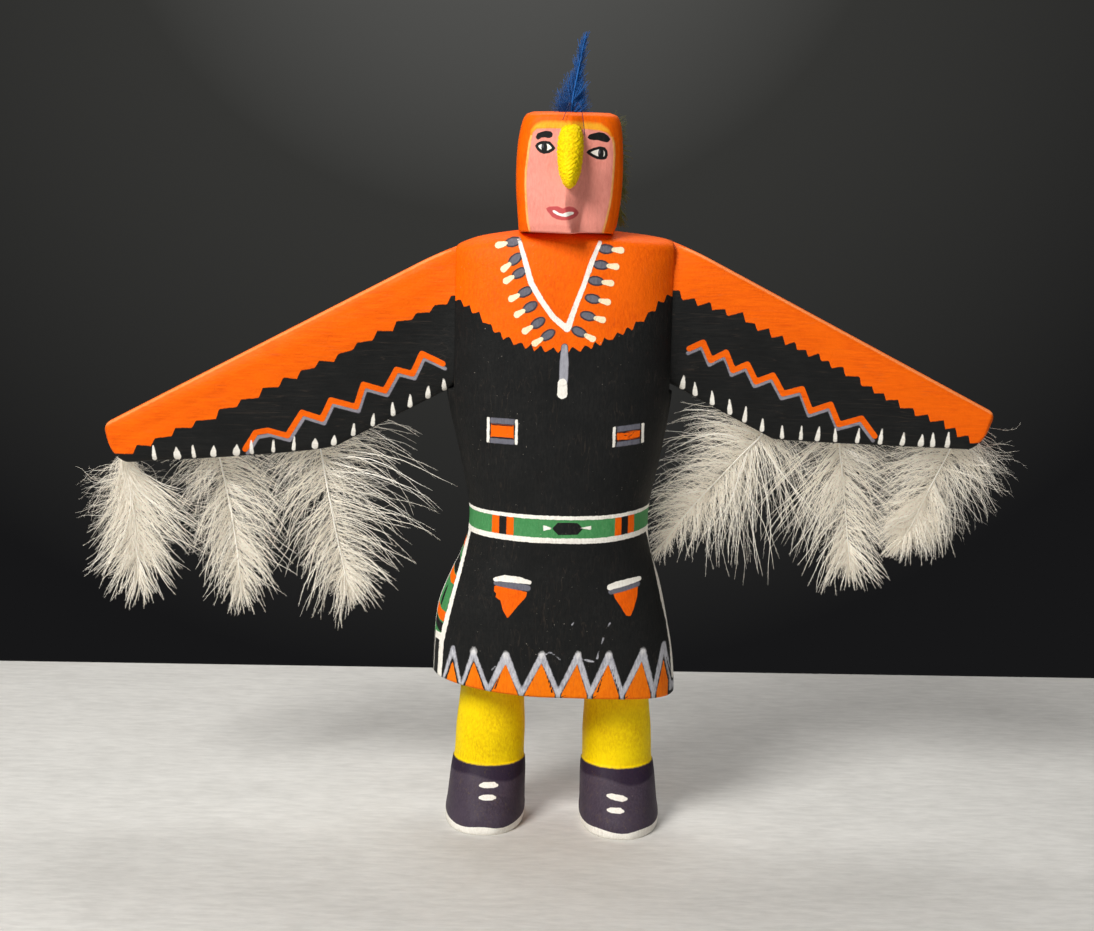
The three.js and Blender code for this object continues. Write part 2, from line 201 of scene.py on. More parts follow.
# %% Section helpers
def powered(value, squareness):
    """One coordinate of a circle's point, pushed out towards a square."""
    return np.sign(value) * np.abs(value) ** (2 / squareness)


def even_turns(across, along, squareness, front, back):
    """Angles around a section, anticlockwise from the middle of the back, that lie evenly
    along the outline: `front` of them on the front half and `back` on the back half."""
    fine = np.linspace(math.pi / 2, math.pi * 5 / 2, 7201)
    x = powered(np.cos(fine), squareness) * across
    y = powered(np.sin(fine), squareness) * along
    run = np.concatenate([[0], np.cumsum(np.hypot(np.diff(x), np.diff(y)))])
    side_one, side_two = np.interp([math.pi, math.pi * 2], fine, run)
    marks = np.concatenate([
        np.linspace(0, side_one, back // 2, endpoint=False),
        np.linspace(side_one, side_two, front, endpoint=False),
        np.linspace(side_two, run[-1], back // 2, endpoint=False),
    ])
    return np.interp(marks, run, fine)


def scaled(rows, start, tall, half, front, back):
    """Stations from rows of shares: of the height within one part of the body, of its
    half-width to the left and right, of its depth in front and behind. The last number of a
    row, the squareness, stays as it is."""
    return np.array(rows, float) * [tall, half, half, front, back, 1] + [start, 0, 0, 0, 0, 0]


def lofted(stations, turns, heights):
    """Grid of points through stations [height, left, right, front, back, squareness]:
    each row is a superellipse whose four half-widths come from the smooth curve."""
    table = np.asarray(stations, float)
    sizes = through(table[:, 0], table[:, 1:], heights)[:, None, :]
    x, y = np.cos(turns)[None, :], np.sin(turns)[None, :]
    across = powered(x, sizes[..., 4]) * np.where(x < 0, sizes[..., 0], sizes[..., 1])
    along = powered(y, sizes[..., 4]) * np.where(y < 0, sizes[..., 2], sizes[..., 3])
    level = np.broadcast_to(np.asarray(heights, float)[:, None], across.shape)
    return np.stack([across, along, level], axis=-1)


print("a point at 45 degrees moves out to", powered(math.sqrt(0.5), 5).round(2), "at squareness 5")

# %% [markdown]
# ## The camera
# The photograph was taken from about 80 cm away, a little above the crown, looking slightly
# down, with the picture turned by a degree. The camera has to stand exactly there, because
# everything else is compared with the photograph through it. The lens is given as it would
# be measured on a picture 1094 pixels wide.

# %% Camera
EYE = np.array([-5.2, -819.0, 298.0])
LOOK_DOWN = math.radians(10.4)
PICTURE_TURN = math.radians(1.3)
PICTURE_WIDTH = 1094.0
LENS_IN_PIXELS = 2047.0
SENSOR = 36.0

camera_data = bpy.data.cameras.new("camera")
camera_data.sensor_width = SENSOR
camera_data.lens = LENS_IN_PIXELS * SENSOR / PICTURE_WIDTH
camera = bpy.data.objects.new("camera", camera_data)
bpy.context.scene.collection.objects.link(camera)
ahead = Vector((0, math.cos(LOOK_DOWN), -math.sin(LOOK_DOWN)))
level = Vector((1, 0, 0))
above = level.cross(ahead)
aside = level * math.cos(PICTURE_TURN) + above * math.sin(PICTURE_TURN)
upright = above * math.cos(PICTURE_TURN) - level * math.sin(PICTURE_TURN)
stand = Matrix((aside, upright, -ahead)).transposed().to_4x4()
stand.translation = Vector((EYE + MIDDLE) * MM)
camera.matrix_world = stand
bpy.context.scene.camera = camera
print("lens", round(camera_data.lens, 1), "mm")

# %% [markdown]
# ## Node recipes
# Every finish below is a chain of shader nodes. Written out in full, each chain would take a
# page, so one helper makes a node, sets its sockets and wires whatever is itself a socket.
# Colours are given as they look on a screen and turned into the linear numbers that a
# renderer works with.

# %% Node helpers
def wire(tree, node, inputs):
    """`inputs` maps socket names or numbers to values or to other sockets."""
    for key, value in inputs.items():
        if isinstance(value, bpy.types.NodeSocket):
            tree.links.new(value, node.inputs[key])
        else:
            node.inputs[key].default_value = value
    return node


def put(tree, kind, inputs=None, **settings):
    """One new node with its settings and its wired inputs."""
    node = tree.nodes.new(kind)
    for key, value in settings.items():
        setattr(node, key, value)
    return wire(tree, node, inputs or {})


def colour(red, green, blue):
    """Screen colour from 0 to 255 as a linear RGBA value."""
    screen = np.array([red, green, blue]) / 255
    linear = np.where(screen <= 0.04045, screen / 12.92, ((screen + 0.055) / 1.055) ** 2.4)
    return (*linear, 1.0)


def sums(tree, kind, one, two=0.0):
    return put(tree, "ShaderNodeMath", {0: one, 1: two}, operation=kind).outputs[0]


def times(tree, one, two):
    return sums(tree, "MULTIPLY", one, two)


def plus(tree, one, two):
    return sums(tree, "ADD", one, two)


def blend(tree, share, one, two):
    """Colour `one` where the share is 0 and colour `two` where it is 1."""
    node = put(tree, "ShaderNodeMix", {0: share, 6: one, 7: two}, data_type="RGBA")
    return node.outputs[2]


def between(tree, value, low, high, start=0.0, end=1.0):
    """The value carried from low..high to start..end, and held there beyond."""
    node = put(tree, "ShaderNodeMapRange", {0: value, 1: low, 2: high, 3: start, 4: end})
    return node.outputs[0]


def cloud(tree, place, scale, detail=2.0, rough=0.5):
    """Soft noise from 0 to 1; the scale counts waves in a metre."""
    wanted = {"Vector": place, "Scale": scale, "Detail": detail, "Roughness": rough}
    return put(tree, "ShaderNodeTexNoise", wanted).outputs[0]


def stretched(tree, place, turn, stretch):
    """Coordinates turned about y and squeezed, for grain and brush marks that run one way."""
    wanted = {"Vector": place, "Rotation": (0.0, turn, 0.0), "Scale": stretch}
    return put(tree, "ShaderNodeMapping", wanted).outputs[0]


def layer(tree, label):
    """The number that a named layer of paint holds on the mesh."""
    return put(tree, "ShaderNodeAttribute", attribute_name=label).outputs["Fac"]


def bumped(tree, height, distance, strength):
    """A normal tilted by the slope of the height."""
    wanted = {"Height": height, "Distance": distance, "Strength": strength}
    return put(tree, "ShaderNodeBump", wanted).outputs[0]


def shader(name):
    """A new material with its tree and its Principled node."""
    material = bpy.data.materials.new(name)
    material.use_nodes = True
    tree = material.node_tree
    return material, tree, tree.nodes["Principled BSDF"]


print("a screen grey of 128 is", round(float(colour(128, 128, 128)[0]), 3), "in linear light")

# %% [markdown]
# ## Paint that is laid on in coats
# The maker painted black first, then orange, then the small colours, with a brush, each coat
# a little thicker than the wood around it. A picture of the pattern would be the usual way to
# copy that, but it would be flat and blurred close up. Here every coat is a number on each
# corner of the mesh instead: how many millimetres that corner lies inside the painted shape.
# The shader adds a little noise to the number, so that the edge wobbles as a brush does, and
# paints wherever it is above zero. The same number gives the coat its thickness and its
# slightly raised rim. The noise scales below count waves in a metre.

# %% The paint shader
PAINT_THICKNESS = 0.06
EDGE_WOBBLE = 0.34
EDGE_SOFTNESS = 0.09
RIM_RISE, RIM_WIDTH = 1.35, 0.5
STREAKS, PATCHES, EDGE_NOISE = 1300.0, 90.0, 620.0
SPECKS, WORN_PLACES, THICK_PAINT, FINE_GRAIN = 1100.0, 40.0, 950.0, 2600.0
GRAIN_LINES, GRAIN_GAPS, GRAIN_WIDTH = 380.0, 75.0, 0.014
WORN_TONE = colour(176, 168, 156)


def hairlines(tree, place, turn, stretch):
    """Thin wavy lines along the grain: the places where a stretched noise crosses its middle
    value, faded in and out by a second, slower noise."""
    longer = tuple(value**1.5 for value in stretch)
    grain = cloud(tree, stretched(tree, place, turn, longer), GRAIN_LINES)
    gap = sums(tree, "ABSOLUTE", sums(tree, "SUBTRACT", grain, 0.5))
    line = between(tree, gap, 0.0, GRAIN_WIDTH, 1.0, 0.0)
    return times(tree, line, between(tree, cloud(tree, place, GRAIN_GAPS), 0.4, 0.62))


def painted(
    name, ground, coats, turn=0.0, stretch=(1.0, 1.0, 0.12), wear=0.0, gloss=0.5,
    grain=0.26, grain_tone=colour(116, 98, 84), texture=0.08,
):
    """A material of coats over a ground. Each colour is a pair, its usual tone and the tone
    where the brush left it thin. A coat is [label, pair, wobble, softness], lowest first, and
    the last two are shares of the usual wobble and softness of an edge."""
    material, tree, surface = shader(name)
    place = put(tree, "ShaderNodeTexCoord").outputs["Object"]
    along = stretched(tree, place, turn, stretch)
    streaks = between(tree, cloud(tree, along, STREAKS, 3.0, 0.6), 0.34, 0.68)
    patches = between(tree, cloud(tree, place, PATCHES, 3.0, 0.6), 0.3, 0.7)
    thin = times(tree, streaks, between(tree, patches, 0.0, 1.0, 0.2, 1.0))
    edge_noise = sums(tree, "SUBTRACT", cloud(tree, place, EDGE_NOISE, 3.0, 0.62), 0.5)
    shown = blend(tree, thin, *ground)
    height = times(tree, streaks, 0.02)
    for label, tones, wobble, softness in coats:
        soft = softness * EDGE_SOFTNESS
        shake = times(tree, edge_noise, wobble * EDGE_WOBBLE)
        inside = plus(tree, layer(tree, label), shake)
        mask = between(tree, inside, -soft, soft)
        shown = blend(tree, mask, shown, blend(tree, thin, *tones))
        rim = times(tree, between(tree, inside, soft, soft + RIM_WIDTH, RIM_RISE, 1.0), PAINT_THICKNESS)
        height = plus(tree, height, times(tree, mask, rim))
    lines = times(tree, hairlines(tree, place, turn, stretch), grain)
    shown = blend(tree, lines, shown, grain_tone)
    if wear:
        specks = between(tree, cloud(tree, place, SPECKS, 2.0, 0.6), 0.735, 0.76)
        where = between(tree, cloud(tree, place, WORN_PLACES), 0.42, 0.56)
        worn = times(tree, times(tree, specks, where), wear)
        shown = blend(tree, worn, shown, WORN_TONE)
    thick = cloud(tree, place, THICK_PAINT, 2.0, 0.55)
    height = plus(tree, height, times(tree, thick, texture))
    fine = cloud(tree, place, FINE_GRAIN)
    height = plus(tree, height, times(tree, fine, 0.035))
    wire(tree, surface, {
        "Base Color": shown,
        "Roughness": between(tree, patches, 0.0, 1.0, gloss, gloss + 0.14),
        "Specular IOR Level": 0.12,
        "Normal": bumped(tree, height, MM, 0.9),
    })
    return material


print("a coat of paint is", PAINT_THICKNESS, "mm thick")

# %% [markdown]
# ## Brush marks as distances
# Three kinds of mark make up all of the decoration: a stroke, a filled outline, and a dab.
# Each function returns how far inside the mark a point lies, in millimetres, with minus
# signs outside. Marks of one colour are joined by keeping the larger number.

# %% Brush marks
OUTSIDE = -99.0


def stroke(x, z, path, width):
    """Half the width minus the distance to the path. The width may change along the path."""
    path = np.asarray(path, float)
    half = np.broadcast_to(np.asarray(width, float) / 2, len(path))
    inside = np.full(np.shape(x), OUTSIDE)
    for start, end, thick, thin in zip(path[:-1], path[1:], half[:-1], half[1:]):
        run = end - start
        share = ((x - start[0]) * run[0] + (z - start[1]) * run[1]) / (run @ run)
        share = unit(share)
        gap = np.hypot(x - start[0] - share * run[0], z - start[1] - share * run[1])
        inside = np.maximum(inside, thick + (thin - thick) * share - gap)
    return inside


def outline(x, z, points):
    """Distance to the nearest side of a polygon, positive inside it by the crossing rule."""
    points = np.asarray(points, float)
    near = -stroke(x, z, np.vstack([points, points[:1]]), 0.0)
    crossings = np.zeros(np.shape(x), int)
    for start, end in zip(points, np.roll(points, -1, axis=0)):
        if start[1] != end[1]:
            at = start[0] + (z - start[1]) * (end[0] - start[0]) / (end[1] - start[1])
            crossings += ((z > min(start[1], end[1])) & (z <= max(start[1], end[1])) & (x < at))
    return np.where(crossings % 2 == 1, near, -near)


def dab(x, z, middle, size, turn=0.0):
    """An oval: one minus the scaled radius, times the smaller half-width."""
    away_x, away_z = x - middle[0], z - middle[1]
    cos, sin = math.cos(math.radians(turn)), math.sin(math.radians(turn))
    across = (away_x * cos + away_z * sin) / (size[0] / 2)
    up = (away_z * cos - away_x * sin) / (size[1] / 2)
    return (1 - np.hypot(across, up)) * min(size) / 2


def joined(*marks):
    """Marks of one colour as one: the larger of their numbers."""
    return np.maximum.reduce(marks)


def saw(share, rise=0.5):
    """A wave of straight teeth from -1 to 1, with the given share of each tooth rising."""
    phase = np.mod(share, 1.0)
    return np.where(phase < rise, phase / rise, (1 - phase) / (1 - rise)) * 2 - 1


print("the middle of a 3 mm stroke lies", stroke(0.0, 0.0, [(-5, 0), (5, 0)], 3.0), "mm inside it")

# %% [markdown]
# ## Body and kilt
# The trunk is one block of wood from the shoulders to the hem of the kilt. It is narrow at
# the belt, and the sides were cut flat where the wings are glued on. The stations are those
# that the carver's eye checks: hem, hip, belt, ribs, armpit and the dome of the shoulders.
# The front takes most of the columns of the grid, because the fine painting is there.

# %% Body shape
HEM_HEIGHT, HEM_DEPTH, HEM_DROP, HEM_CURVE = 58.0, 55.0, 7.0, 1.8
BELT_HEIGHT, BELT_BAND, BELT_WIDTH, BELT_DEPTH = 121.8, 10.6, 73.4, 54.0
ARMPIT_HEIGHT, CHEST_WIDTH, CHEST_DEPTH, SHOULDER_HEIGHT = 178.0, 90.6, 51.0, 242.9
SEAT_SPREAD = 86.0
HEM_ROUND = 1.2
HEM_ROWS = [0.0, 0.12, 0.45, 0.9]


KILT_ROWS = [
    [0, 1.01, 0.99, 0.52, 0.48, 2.3], [0.24, 1, 0.965, 0.52, 0.48, 2.3],
    [0.5, 0.965, 0.9, 0.515, 0.475, 2.25], [0.7, 0.87, 0.84, 0.51, 0.465, 2.2],
    [0.85, 0.785, 0.775, 0.51, 0.455, 2.15],
]
WAIST_ROWS = [[0, 1, 1, 0.53, 0.46, 2.1], [1, 1, 1, 0.5, 0.45, 2.1]]
RIB_ROW = [0.5, 0.91, 0.905, 0.52, 0.46, 2.2]
DOME_ROWS = [
    [0, 1.02, 0.98, 0.5, 0.47, 2.3], [0.45, 1.02, 1, 0.48, 0.46, 2.3],
    [0.75, 1, 1, 0.44, 0.42, 2.3], [0.885, 0.97, 1.01, 0.41, 0.37, 2.3],
    [0.95, 0.78, 0.95, 0.39, 0.33, 2.3], [0.98, 0.57, 0.76, 0.36, 0.29, 2.2],
    [1, 0.38, 0.5, 0.3, 0.22, 2.1],
]


def body_stations():
    """The kilt, the belt, the ribs, and the chest with the dome of the shoulders."""
    top, half, chest = BELT_HEIGHT + BELT_BAND, CHEST_WIDTH / 2, (CHEST_DEPTH, CHEST_DEPTH)
    kilt, dome = BELT_HEIGHT - HEM_HEIGHT, SHOULDER_HEIGHT - ARMPIT_HEIGHT
    return np.concatenate([
        scaled(KILT_ROWS, HEM_HEIGHT, kilt, HEM_WIDTH / 2, HEM_DEPTH, HEM_DEPTH),
        scaled(WAIST_ROWS, BELT_HEIGHT, BELT_BAND, BELT_WIDTH / 2, BELT_DEPTH, BELT_DEPTH),
        scaled([RIB_ROW], top, ARMPIT_HEIGHT - top, half, *chest),
        scaled(DOME_ROWS, ARMPIT_HEIGHT, dome, half, *chest),
    ])


def tool_marks(points, amount, wave, seed):
    """Sum of a few sine waves in random directions: the slow unevenness of knife work."""
    random = np.random.default_rng(seed)
    total = np.zeros(points.shape[:-1])
    for _ in range(7):
        way = random.normal(size=3)
        way *= 2 * math.pi / (wave * random.uniform(0.6, 1.6)) / np.linalg.norm(way)
        total += np.sin(points @ way + random.uniform(0, 2 * math.pi))
    return total * amount / math.sqrt(7)


def body_grid(front=200, back=100, rows=300):
    """Superellipse rings through the stations. Below the belt the rings slope, so that the
    hem drops to one side, and beside the wings the ring is cut flat at the glued seats."""
    turns = even_turns(HEM_WIDTH / 2, HEM_DEPTH / 2, 2.3, front, back)
    edge = HEM_HEIGHT + np.array(HEM_ROWS)
    heights = np.concatenate([edge, np.linspace(HEM_HEIGHT + 1.4, SHOULDER_HEIGHT, rows - 4)])
    points = lofted(body_stations(), turns, heights)
    low = unit(1 - (heights - HEM_HEIGHT) / HEM_ROUND)
    inset = HEM_ROUND * (1 - np.sqrt(1 - low**2))
    points[..., :2] *= (1 - inset / (HEM_DEPTH / 2))[:, None, None]
    marks = tool_marks(points, 0.16, 26.0, 3)
    points[..., 1] += marks * np.sign(points[..., 1])
    x, level = points[..., 0], points[..., 2].copy()
    fall = unit((BELT_HEIGHT - level) / (BELT_HEIGHT - HEM_HEIGHT))
    sideways = np.abs(x / (HEM_WIDTH / 2)) ** HEM_CURVE * np.sign(x)
    points[..., 2] -= fall * HEM_DROP / 2 * sideways
    seat = SEAT_SPREAD / 2
    beside_wing = level > ARMPIT_HEIGHT + 1.5
    points[..., 0] = np.where(beside_wing, np.clip(x, -seat, seat), x)
    return points


print("body is", HEM_WIDTH.round(1), "mm wide at the hem")

# %% [markdown]
# ## Painting the body
# All places below are real sizes, read off the doll from its front: the first number is how
# far to the right of its middle a mark sits, the second its height. The orange collar ends
# in hand-cut teeth that run all the way round. The belt and the hem pattern go round too,
# while beads, pendant and small patterns are on the front alone.

# %% Collar, beads and chalk
COLLAR_CURVE = [
    (-50, 218.0), (-41, 215.0), (-33, 210.0), (-26.5, 204.6), (-17, 200.0), (-9, 198.4),
    (1, 198.2), (10.5, 199.8), (22, 204.6), (32, 211.0), (40, 218.0), (50, 220.0),
]
TOOTH_LENGTH, TOOTH_DEPTH = 4.1, 2.6
NECKLACE_LEFT = [(-18.1, 240.4), (-15.6, 232.6), (-13, 223.9), (-9, 217.4), (-4.2, 211), (1.4, 206.4)]
NECKLACE_RIGHT = [(13.5, 240.0), (10.5, 232.5), (7.6, 223.6), (4.3, 214.7), (1.9, 207.2)]
NECKLACE_LEFT_WIDTHS, NECKLACE_RIGHT_WIDTHS = [1.4, 2.0, 2.3, 2.2, 2.1, 2.5], [1.5, 2.0, 1.9, 2.0, 2.5]
BEADS_LEFT = [
    (-20.4, 239.3), (-19.4, 232.8), (-17.7, 227.5), (-15.3, 220.3), (-13.2, 214.6),
    (-10.0, 208.5), (-6, 203.9),
]
BEADS_RIGHT = [
    (15.8, 237.5), (14, 231.4), (12.2, 225.2), (11.2, 218.3), (9.5, 211.6), (6.1, 205.4),
]
TURNS_LEFT = [14, 42, 32, 28, 32, 34, 34]
TURNS_RIGHT = [-4, -6, -8, -12, -14, -26]
BEAD_SIZE, TIP_SIZE, TIP_REACH = (6.7, 3.9), (4.0, 2.6), 4.5
CHALK = [
    ([(-4.7, 75.8), (-2.3, 77.1), (0.1, 75.7), (1.8, 74.1)], [0.2, 0.55, 0.3, 0.5]),
    ([(10.5, 74.6), (13.0, 73.8), (15.4, 73.3)], [0.3, 0.9, 0.5]),
    ([(16.6, 74.6), (17.2, 77.6)], [0.7, 0.3]),
    ([(18.2, 80.5), (18.9, 83.0)], [0.3, 0.6]),
    ([(20.6, 87.6), (21.4, 89.0)], [0.2, 0.7]),
    ([(6.2, 88.4), (7.0, 89.6)], [0.5, 0.2]),
    ([(-24.0, 70.2), (-25.6, 68.4)], [0.3, 0.4]),
]


def collar_marks(x, z):
    """Height above a smooth curve that carries teeth, of one length but uneven depth."""
    knots = np.array(COLLAR_CURVE)
    base = through(knots[:, 0], knots[:, 1], x)
    uneven = 1 + 0.35 * np.sin(x * 0.9) * np.sin(x * 0.37 + 1)
    teeth = saw(x / TOOTH_LENGTH + 0.1 * np.sin(x * 0.5), 0.5 + 0.2 * np.tanh(x / 8))
    return (z - base + teeth * TOOTH_DEPTH / 2 * uneven) * 0.75


def bead_marks(x, z):
    """Grey ovals that lean away from the necklace, each with a white tip at its outer end."""
    grey, dark, white = [], [], []
    for side, beads, turns in ((-1, BEADS_LEFT, TURNS_LEFT), (1, BEADS_RIGHT, TURNS_RIGHT)):
        for middle, turn in zip(beads, turns):
            way = np.array([math.cos(math.radians(turn)), math.sin(math.radians(turn))]) * side
            dark.append(dab(x, z, middle, BEAD_SIZE, turn))
            grey.append(dab(x, z, middle, (BEAD_SIZE[0] - 1.2, BEAD_SIZE[1] - 1.2), turn))
            tip = np.array(middle) + way * TIP_REACH
            near, far = tip - way * 1.5, tip + way * 1.5
            white.append(stroke(x, z, [near, far], [TIP_SIZE[1] * 0.62, TIP_SIZE[1]]))
    return joined(*grey), joined(*dark), joined(*white)


print(len(BEADS_LEFT) + len(BEADS_RIGHT), "beads and", len(CHALK), "chalk scratches")

# %% [markdown]
# The belt runs right round: green between two white lines. On the front it carries two
# barred panels and a dark lozenge between two small arrow heads. Its right end climbs a
# little, as it was painted by turning the doll and not the brush.

# %% Belt
BELT_PANELS = ((-26.6, -17.9), (22.4, 30.2))
BELT_LOZENGE = [(-2.7, 127.5), (-0.4, 129.9), (7.2, 129.9), (9.7, 127.6), (7.4, 125.2), (-0.2, 125.1)]
BELT_ARROWS = [
    [(-6.2, 128.6), (-2.0, 127.6), (-6.0, 126.4)],
    [(13.0, 128.7), (8.4, 127.8), (12.8, 126.9)],
]
BELT_CLIMB = 1.4


def belt_marks(x, z):
    """Green band between two white lines, with barred panels and a dark middle lozenge."""
    lift = BELT_CLIMB * unit((x - 16) / 20) ** 1.5
    low, high = z - BELT_HEIGHT - lift, z - BELT_HEIGHT - BELT_BAND - lift
    green = np.minimum(low - 0.6, -high - 0.4)
    white = joined(1.05 - np.abs(low - 0.9), 0.75 - np.abs(high + 0.75))
    inside = np.minimum(low - 1.9, -high - 1.4)
    bars, dark = [], []
    for left, right in BELT_PANELS:
        away = np.abs(x - (left + right) / 2)
        bars.append(np.minimum((right - left) / 2 - away, inside))
        dark.append(np.minimum((right - left) / 3.4 / 2 + 0.2 - away, inside + 0.3))
    dark.append(outline(x, z, BELT_LOZENGE))
    arrows = [outline(x, z, points) for points in BELT_ARROWS]
    return green, joined(*bars), joined(*dark), joined(white, *arrows)


print("belt of", BELT_BAND, "mm with", len(BELT_PANELS), "panels")

# %% [markdown]
# Two small framed panels sit on the ribs and two capped triangles on the kilt. The right
# panel leans and has a thin dark line round its bar. Each pair was drawn by eye, so the two
# halves differ.

# %% Chest and kilt patterns
CHEST_PANELS = ((-29.3, -17.0, 160.2, 170.4, 0.0), (20.4, 33.0, 160.4, 168.6, 0.09))


def box(x, z, left, right, low, high):
    """How far inside an upright rectangle a point lies."""
    across = (right - left) / 2 - np.abs(x - (left + right) / 2)
    return np.minimum(across, (high - low) / 2 - np.abs(z - (low + high) / 2))


def chest_marks(x, z):
    """Two small framed panels: white at both ends, grey above and below an orange bar."""
    white, grey, orange, dark = [], [], [], []
    for left, right, low, high, slope in CHEST_PANELS:
        tilt = z - (x - (left + right) / 2) * slope
        white += [box(x, tilt, a, a + 1.1, low, high) for a in (left, right - 1.1)]
        for bottom, top in ((high - 2.2, high), (low, low + 2.0)):
            grey.append(box(x, tilt, left + 1.3, right - 1.3, bottom, top))
        orange.append(box(x, tilt, left + 1.6, right - 1.6, low + 2.3, high - 2.5))
        lines = [[(left + 2, at), (right - 2, at)] for at in (high - 2.7, low + 2.5)]
        if slope:
            middle = (low + high) / 2
            bend = [(left + 4.4, middle + 0.4), (left + 6.6, middle - 0.5), (right - 4.6, middle + 0.3)]
            dark.append(stroke(x, tilt, bend, 0.4))
            lines += [[(at, low), (at, high)] for at in (left + 1.5, right - 1.5)]
        dark += [stroke(x, tilt, line, 0.5) for line in lines]
    return joined(*white), joined(*grey), joined(*orange), joined(*dark)


def kilt_marks(x, z):
    """A white cap over a grey band over an orange triangle, once on each side."""
    white = joined(
        stroke(x, z, [(-24.9, 105.4), (-20.8, 106.2), (-15, 106.0), (-11.0, 105.3)], [1.5, 2.7, 2.6, 1.5]),
        stroke(x, z, [(21.0, 103.5), (24.4, 104.4), (29, 105.2), (32.9, 105.7)], [2.4, 2.8, 2.4, 1.9]),
    )
    grey = joined(
        stroke(x, z, [(-24.6, 104.0), (-18, 103.6), (-11.8, 102.9)], [1.8, 2.8, 2.4]),
        stroke(x, z, [(21.6, 101.8), (27, 102.8), (32.2, 103.8)], [2.4, 2.4, 2.2]),
    )
    orange = joined(
        outline(x, z, [
            (-25.1, 103.0), (-19, 102.5), (-12.0, 101.3), (-12.3, 99.4), (-15.6, 95.4),
            (-19.6, 90.2), (-21.4, 93.2), (-22.6, 97.2), (-24.6, 98.4), (-24.2, 99.8), (-25.2, 100.6),
        ]),
        outline(x, z, [
            (22.4, 100.8), (27, 101.7), (32.4, 102.9), (32.2, 98.6), (30.8, 93.8), (29.6, 91.2),
            (27.9, 91.6), (25.6, 95.4), (23.2, 98.9),
        ]),
    )
    return white, grey, orange


print(len(CHEST_PANELS), "panels on the ribs and a capped triangle on each side of the kilt")

# %% [markdown]
# The hem has a row of orange triangles under a pale zigzag. Its peaks and feet were set by
# eye and its line is wider where the brush was full. Below each foot it runs on to the edge.

# %% Hem
HEM_ZIGZAG = [
    (-47.8, 57.0), (-45.6, 60.8), (-41.5, 75.3), (-38.0, 59.6), (-33.0, 75.0), (-26.9, 59.6),
    (-19.9, 74.8), (-13.5, 59.4), (-5.5, 75.5), (1.3, 60.0), (8.9, 75.8), (14.1, 60.0),
    (21.3, 75.7), (27.1, 59.2), (35.1, 75.9), (40.1, 58.5), (43.9, 77.3), (47.5, 61.7), (49.5, 56.0),
]
HEM_WIDTHS = [
    0.8, 0.9, 1.5, 1.1, 1.7, 1.6, 3.1, 1.9, 2.4, 1.8, 2.5, 1.9, 2.6, 1.9, 2.7, 1.7, 1.9, 1.1, 1.0,
]
HEM_START, HEM_END, HEM_BELOW = (-47.8, 48.0), (49.5, 48.0), 50.0


def hem_marks(x, z):
    """Triangles standing on the hem. A pale line goes up and down round the whole edge, orange
    fills the room under each of its peaks, and a dark line shows where the two don't meet."""
    path = []
    for number, (place, level) in enumerate(HEM_ZIGZAG):
        path += [(place, level), (place, HEM_BELOW), (place, level)] if number % 2 else [(place, level)]
    under = outline(x, z, [HEM_START, *path, HEM_END])
    peaks = np.array(HEM_ZIGZAG[2:-1:2])
    feet = np.array(HEM_ZIGZAG[1::2])
    drops = [stroke(x, z, [(place, level), (place, level - 4)], [1.6, 1.2]) for place, level in feet]
    pale = joined(stroke(x, z, HEM_ZIGZAG, HEM_WIDTHS), *drops)
    dark = []
    for place, top in peaks[1::2]:
        dark.append(stroke(x, z, [(place + 1.3, top - 5.6), (place + 4.4, 60.6)], [0.3, 0.75]))
    for place, top in peaks[2::3]:
        dark.append(stroke(x, z, [(place - 1.5, top - 6.2), (place - 4.2, 60.8)], [0.2, 0.7]))
    for place, low in feet[1:-2]:
        dark.append(stroke(x, z, [(place + 1.2, low - 1.6), (place + 3.6, low - 0.2)], [0.5, 0.1]))
    tips = [dab(x, z, (place, top + 0.3), (1.9, 2.4)) for place, top in peaks[1:-1]]
    return pale, under - 1.3, joined(*dark), joined(*tips)


print(len(HEM_ZIGZAG) // 2, "peaks on the hem")

# %% [markdown]
# The sash hangs at the doll's right hip: a green panel between white lines, with a dark
# lozenge, dark gaps and short orange bars. Its outer half lies on the turn of the hip, so the
# panel is measured from the slanting white line that borders it and not from the middle. A
# second white line runs down the other hip. Both lines stop where the hip turns to the back.

# %% Sash marks
SASH_LINE = [(-36.0, 121.6), (-38.6, 109.6), (-41.9, 96.6), (-44.6, 85.4), (-46.5, 76.4), (-47.3, 60.3)]
FAR_LINE = [(36, 123), (39.6, 109.3), (43.1, 94.6), (45.4, 86.2), (47.3, 75.6), (48.5, 62.0)]
LINE_STOP, FRONT_LIMIT = -3.8, -3
SASH_LINE_WIDTHS, FAR_LINE_WIDTHS = [1.2, 1.3, 1.5, 1.8, 1.9, 1.8], [1.0, 1.1, 1.3, 1.4, 1.3, 1.2]
SASH_BARS = [(115.6, 112.2), (103.2, 99.6), (88.2, 84.0)]
SASH_DARK = [(118.8, 116.0), (108.6, 103.6), (83.4, 79.6)]
SASH_LOZENGES = [94.4]


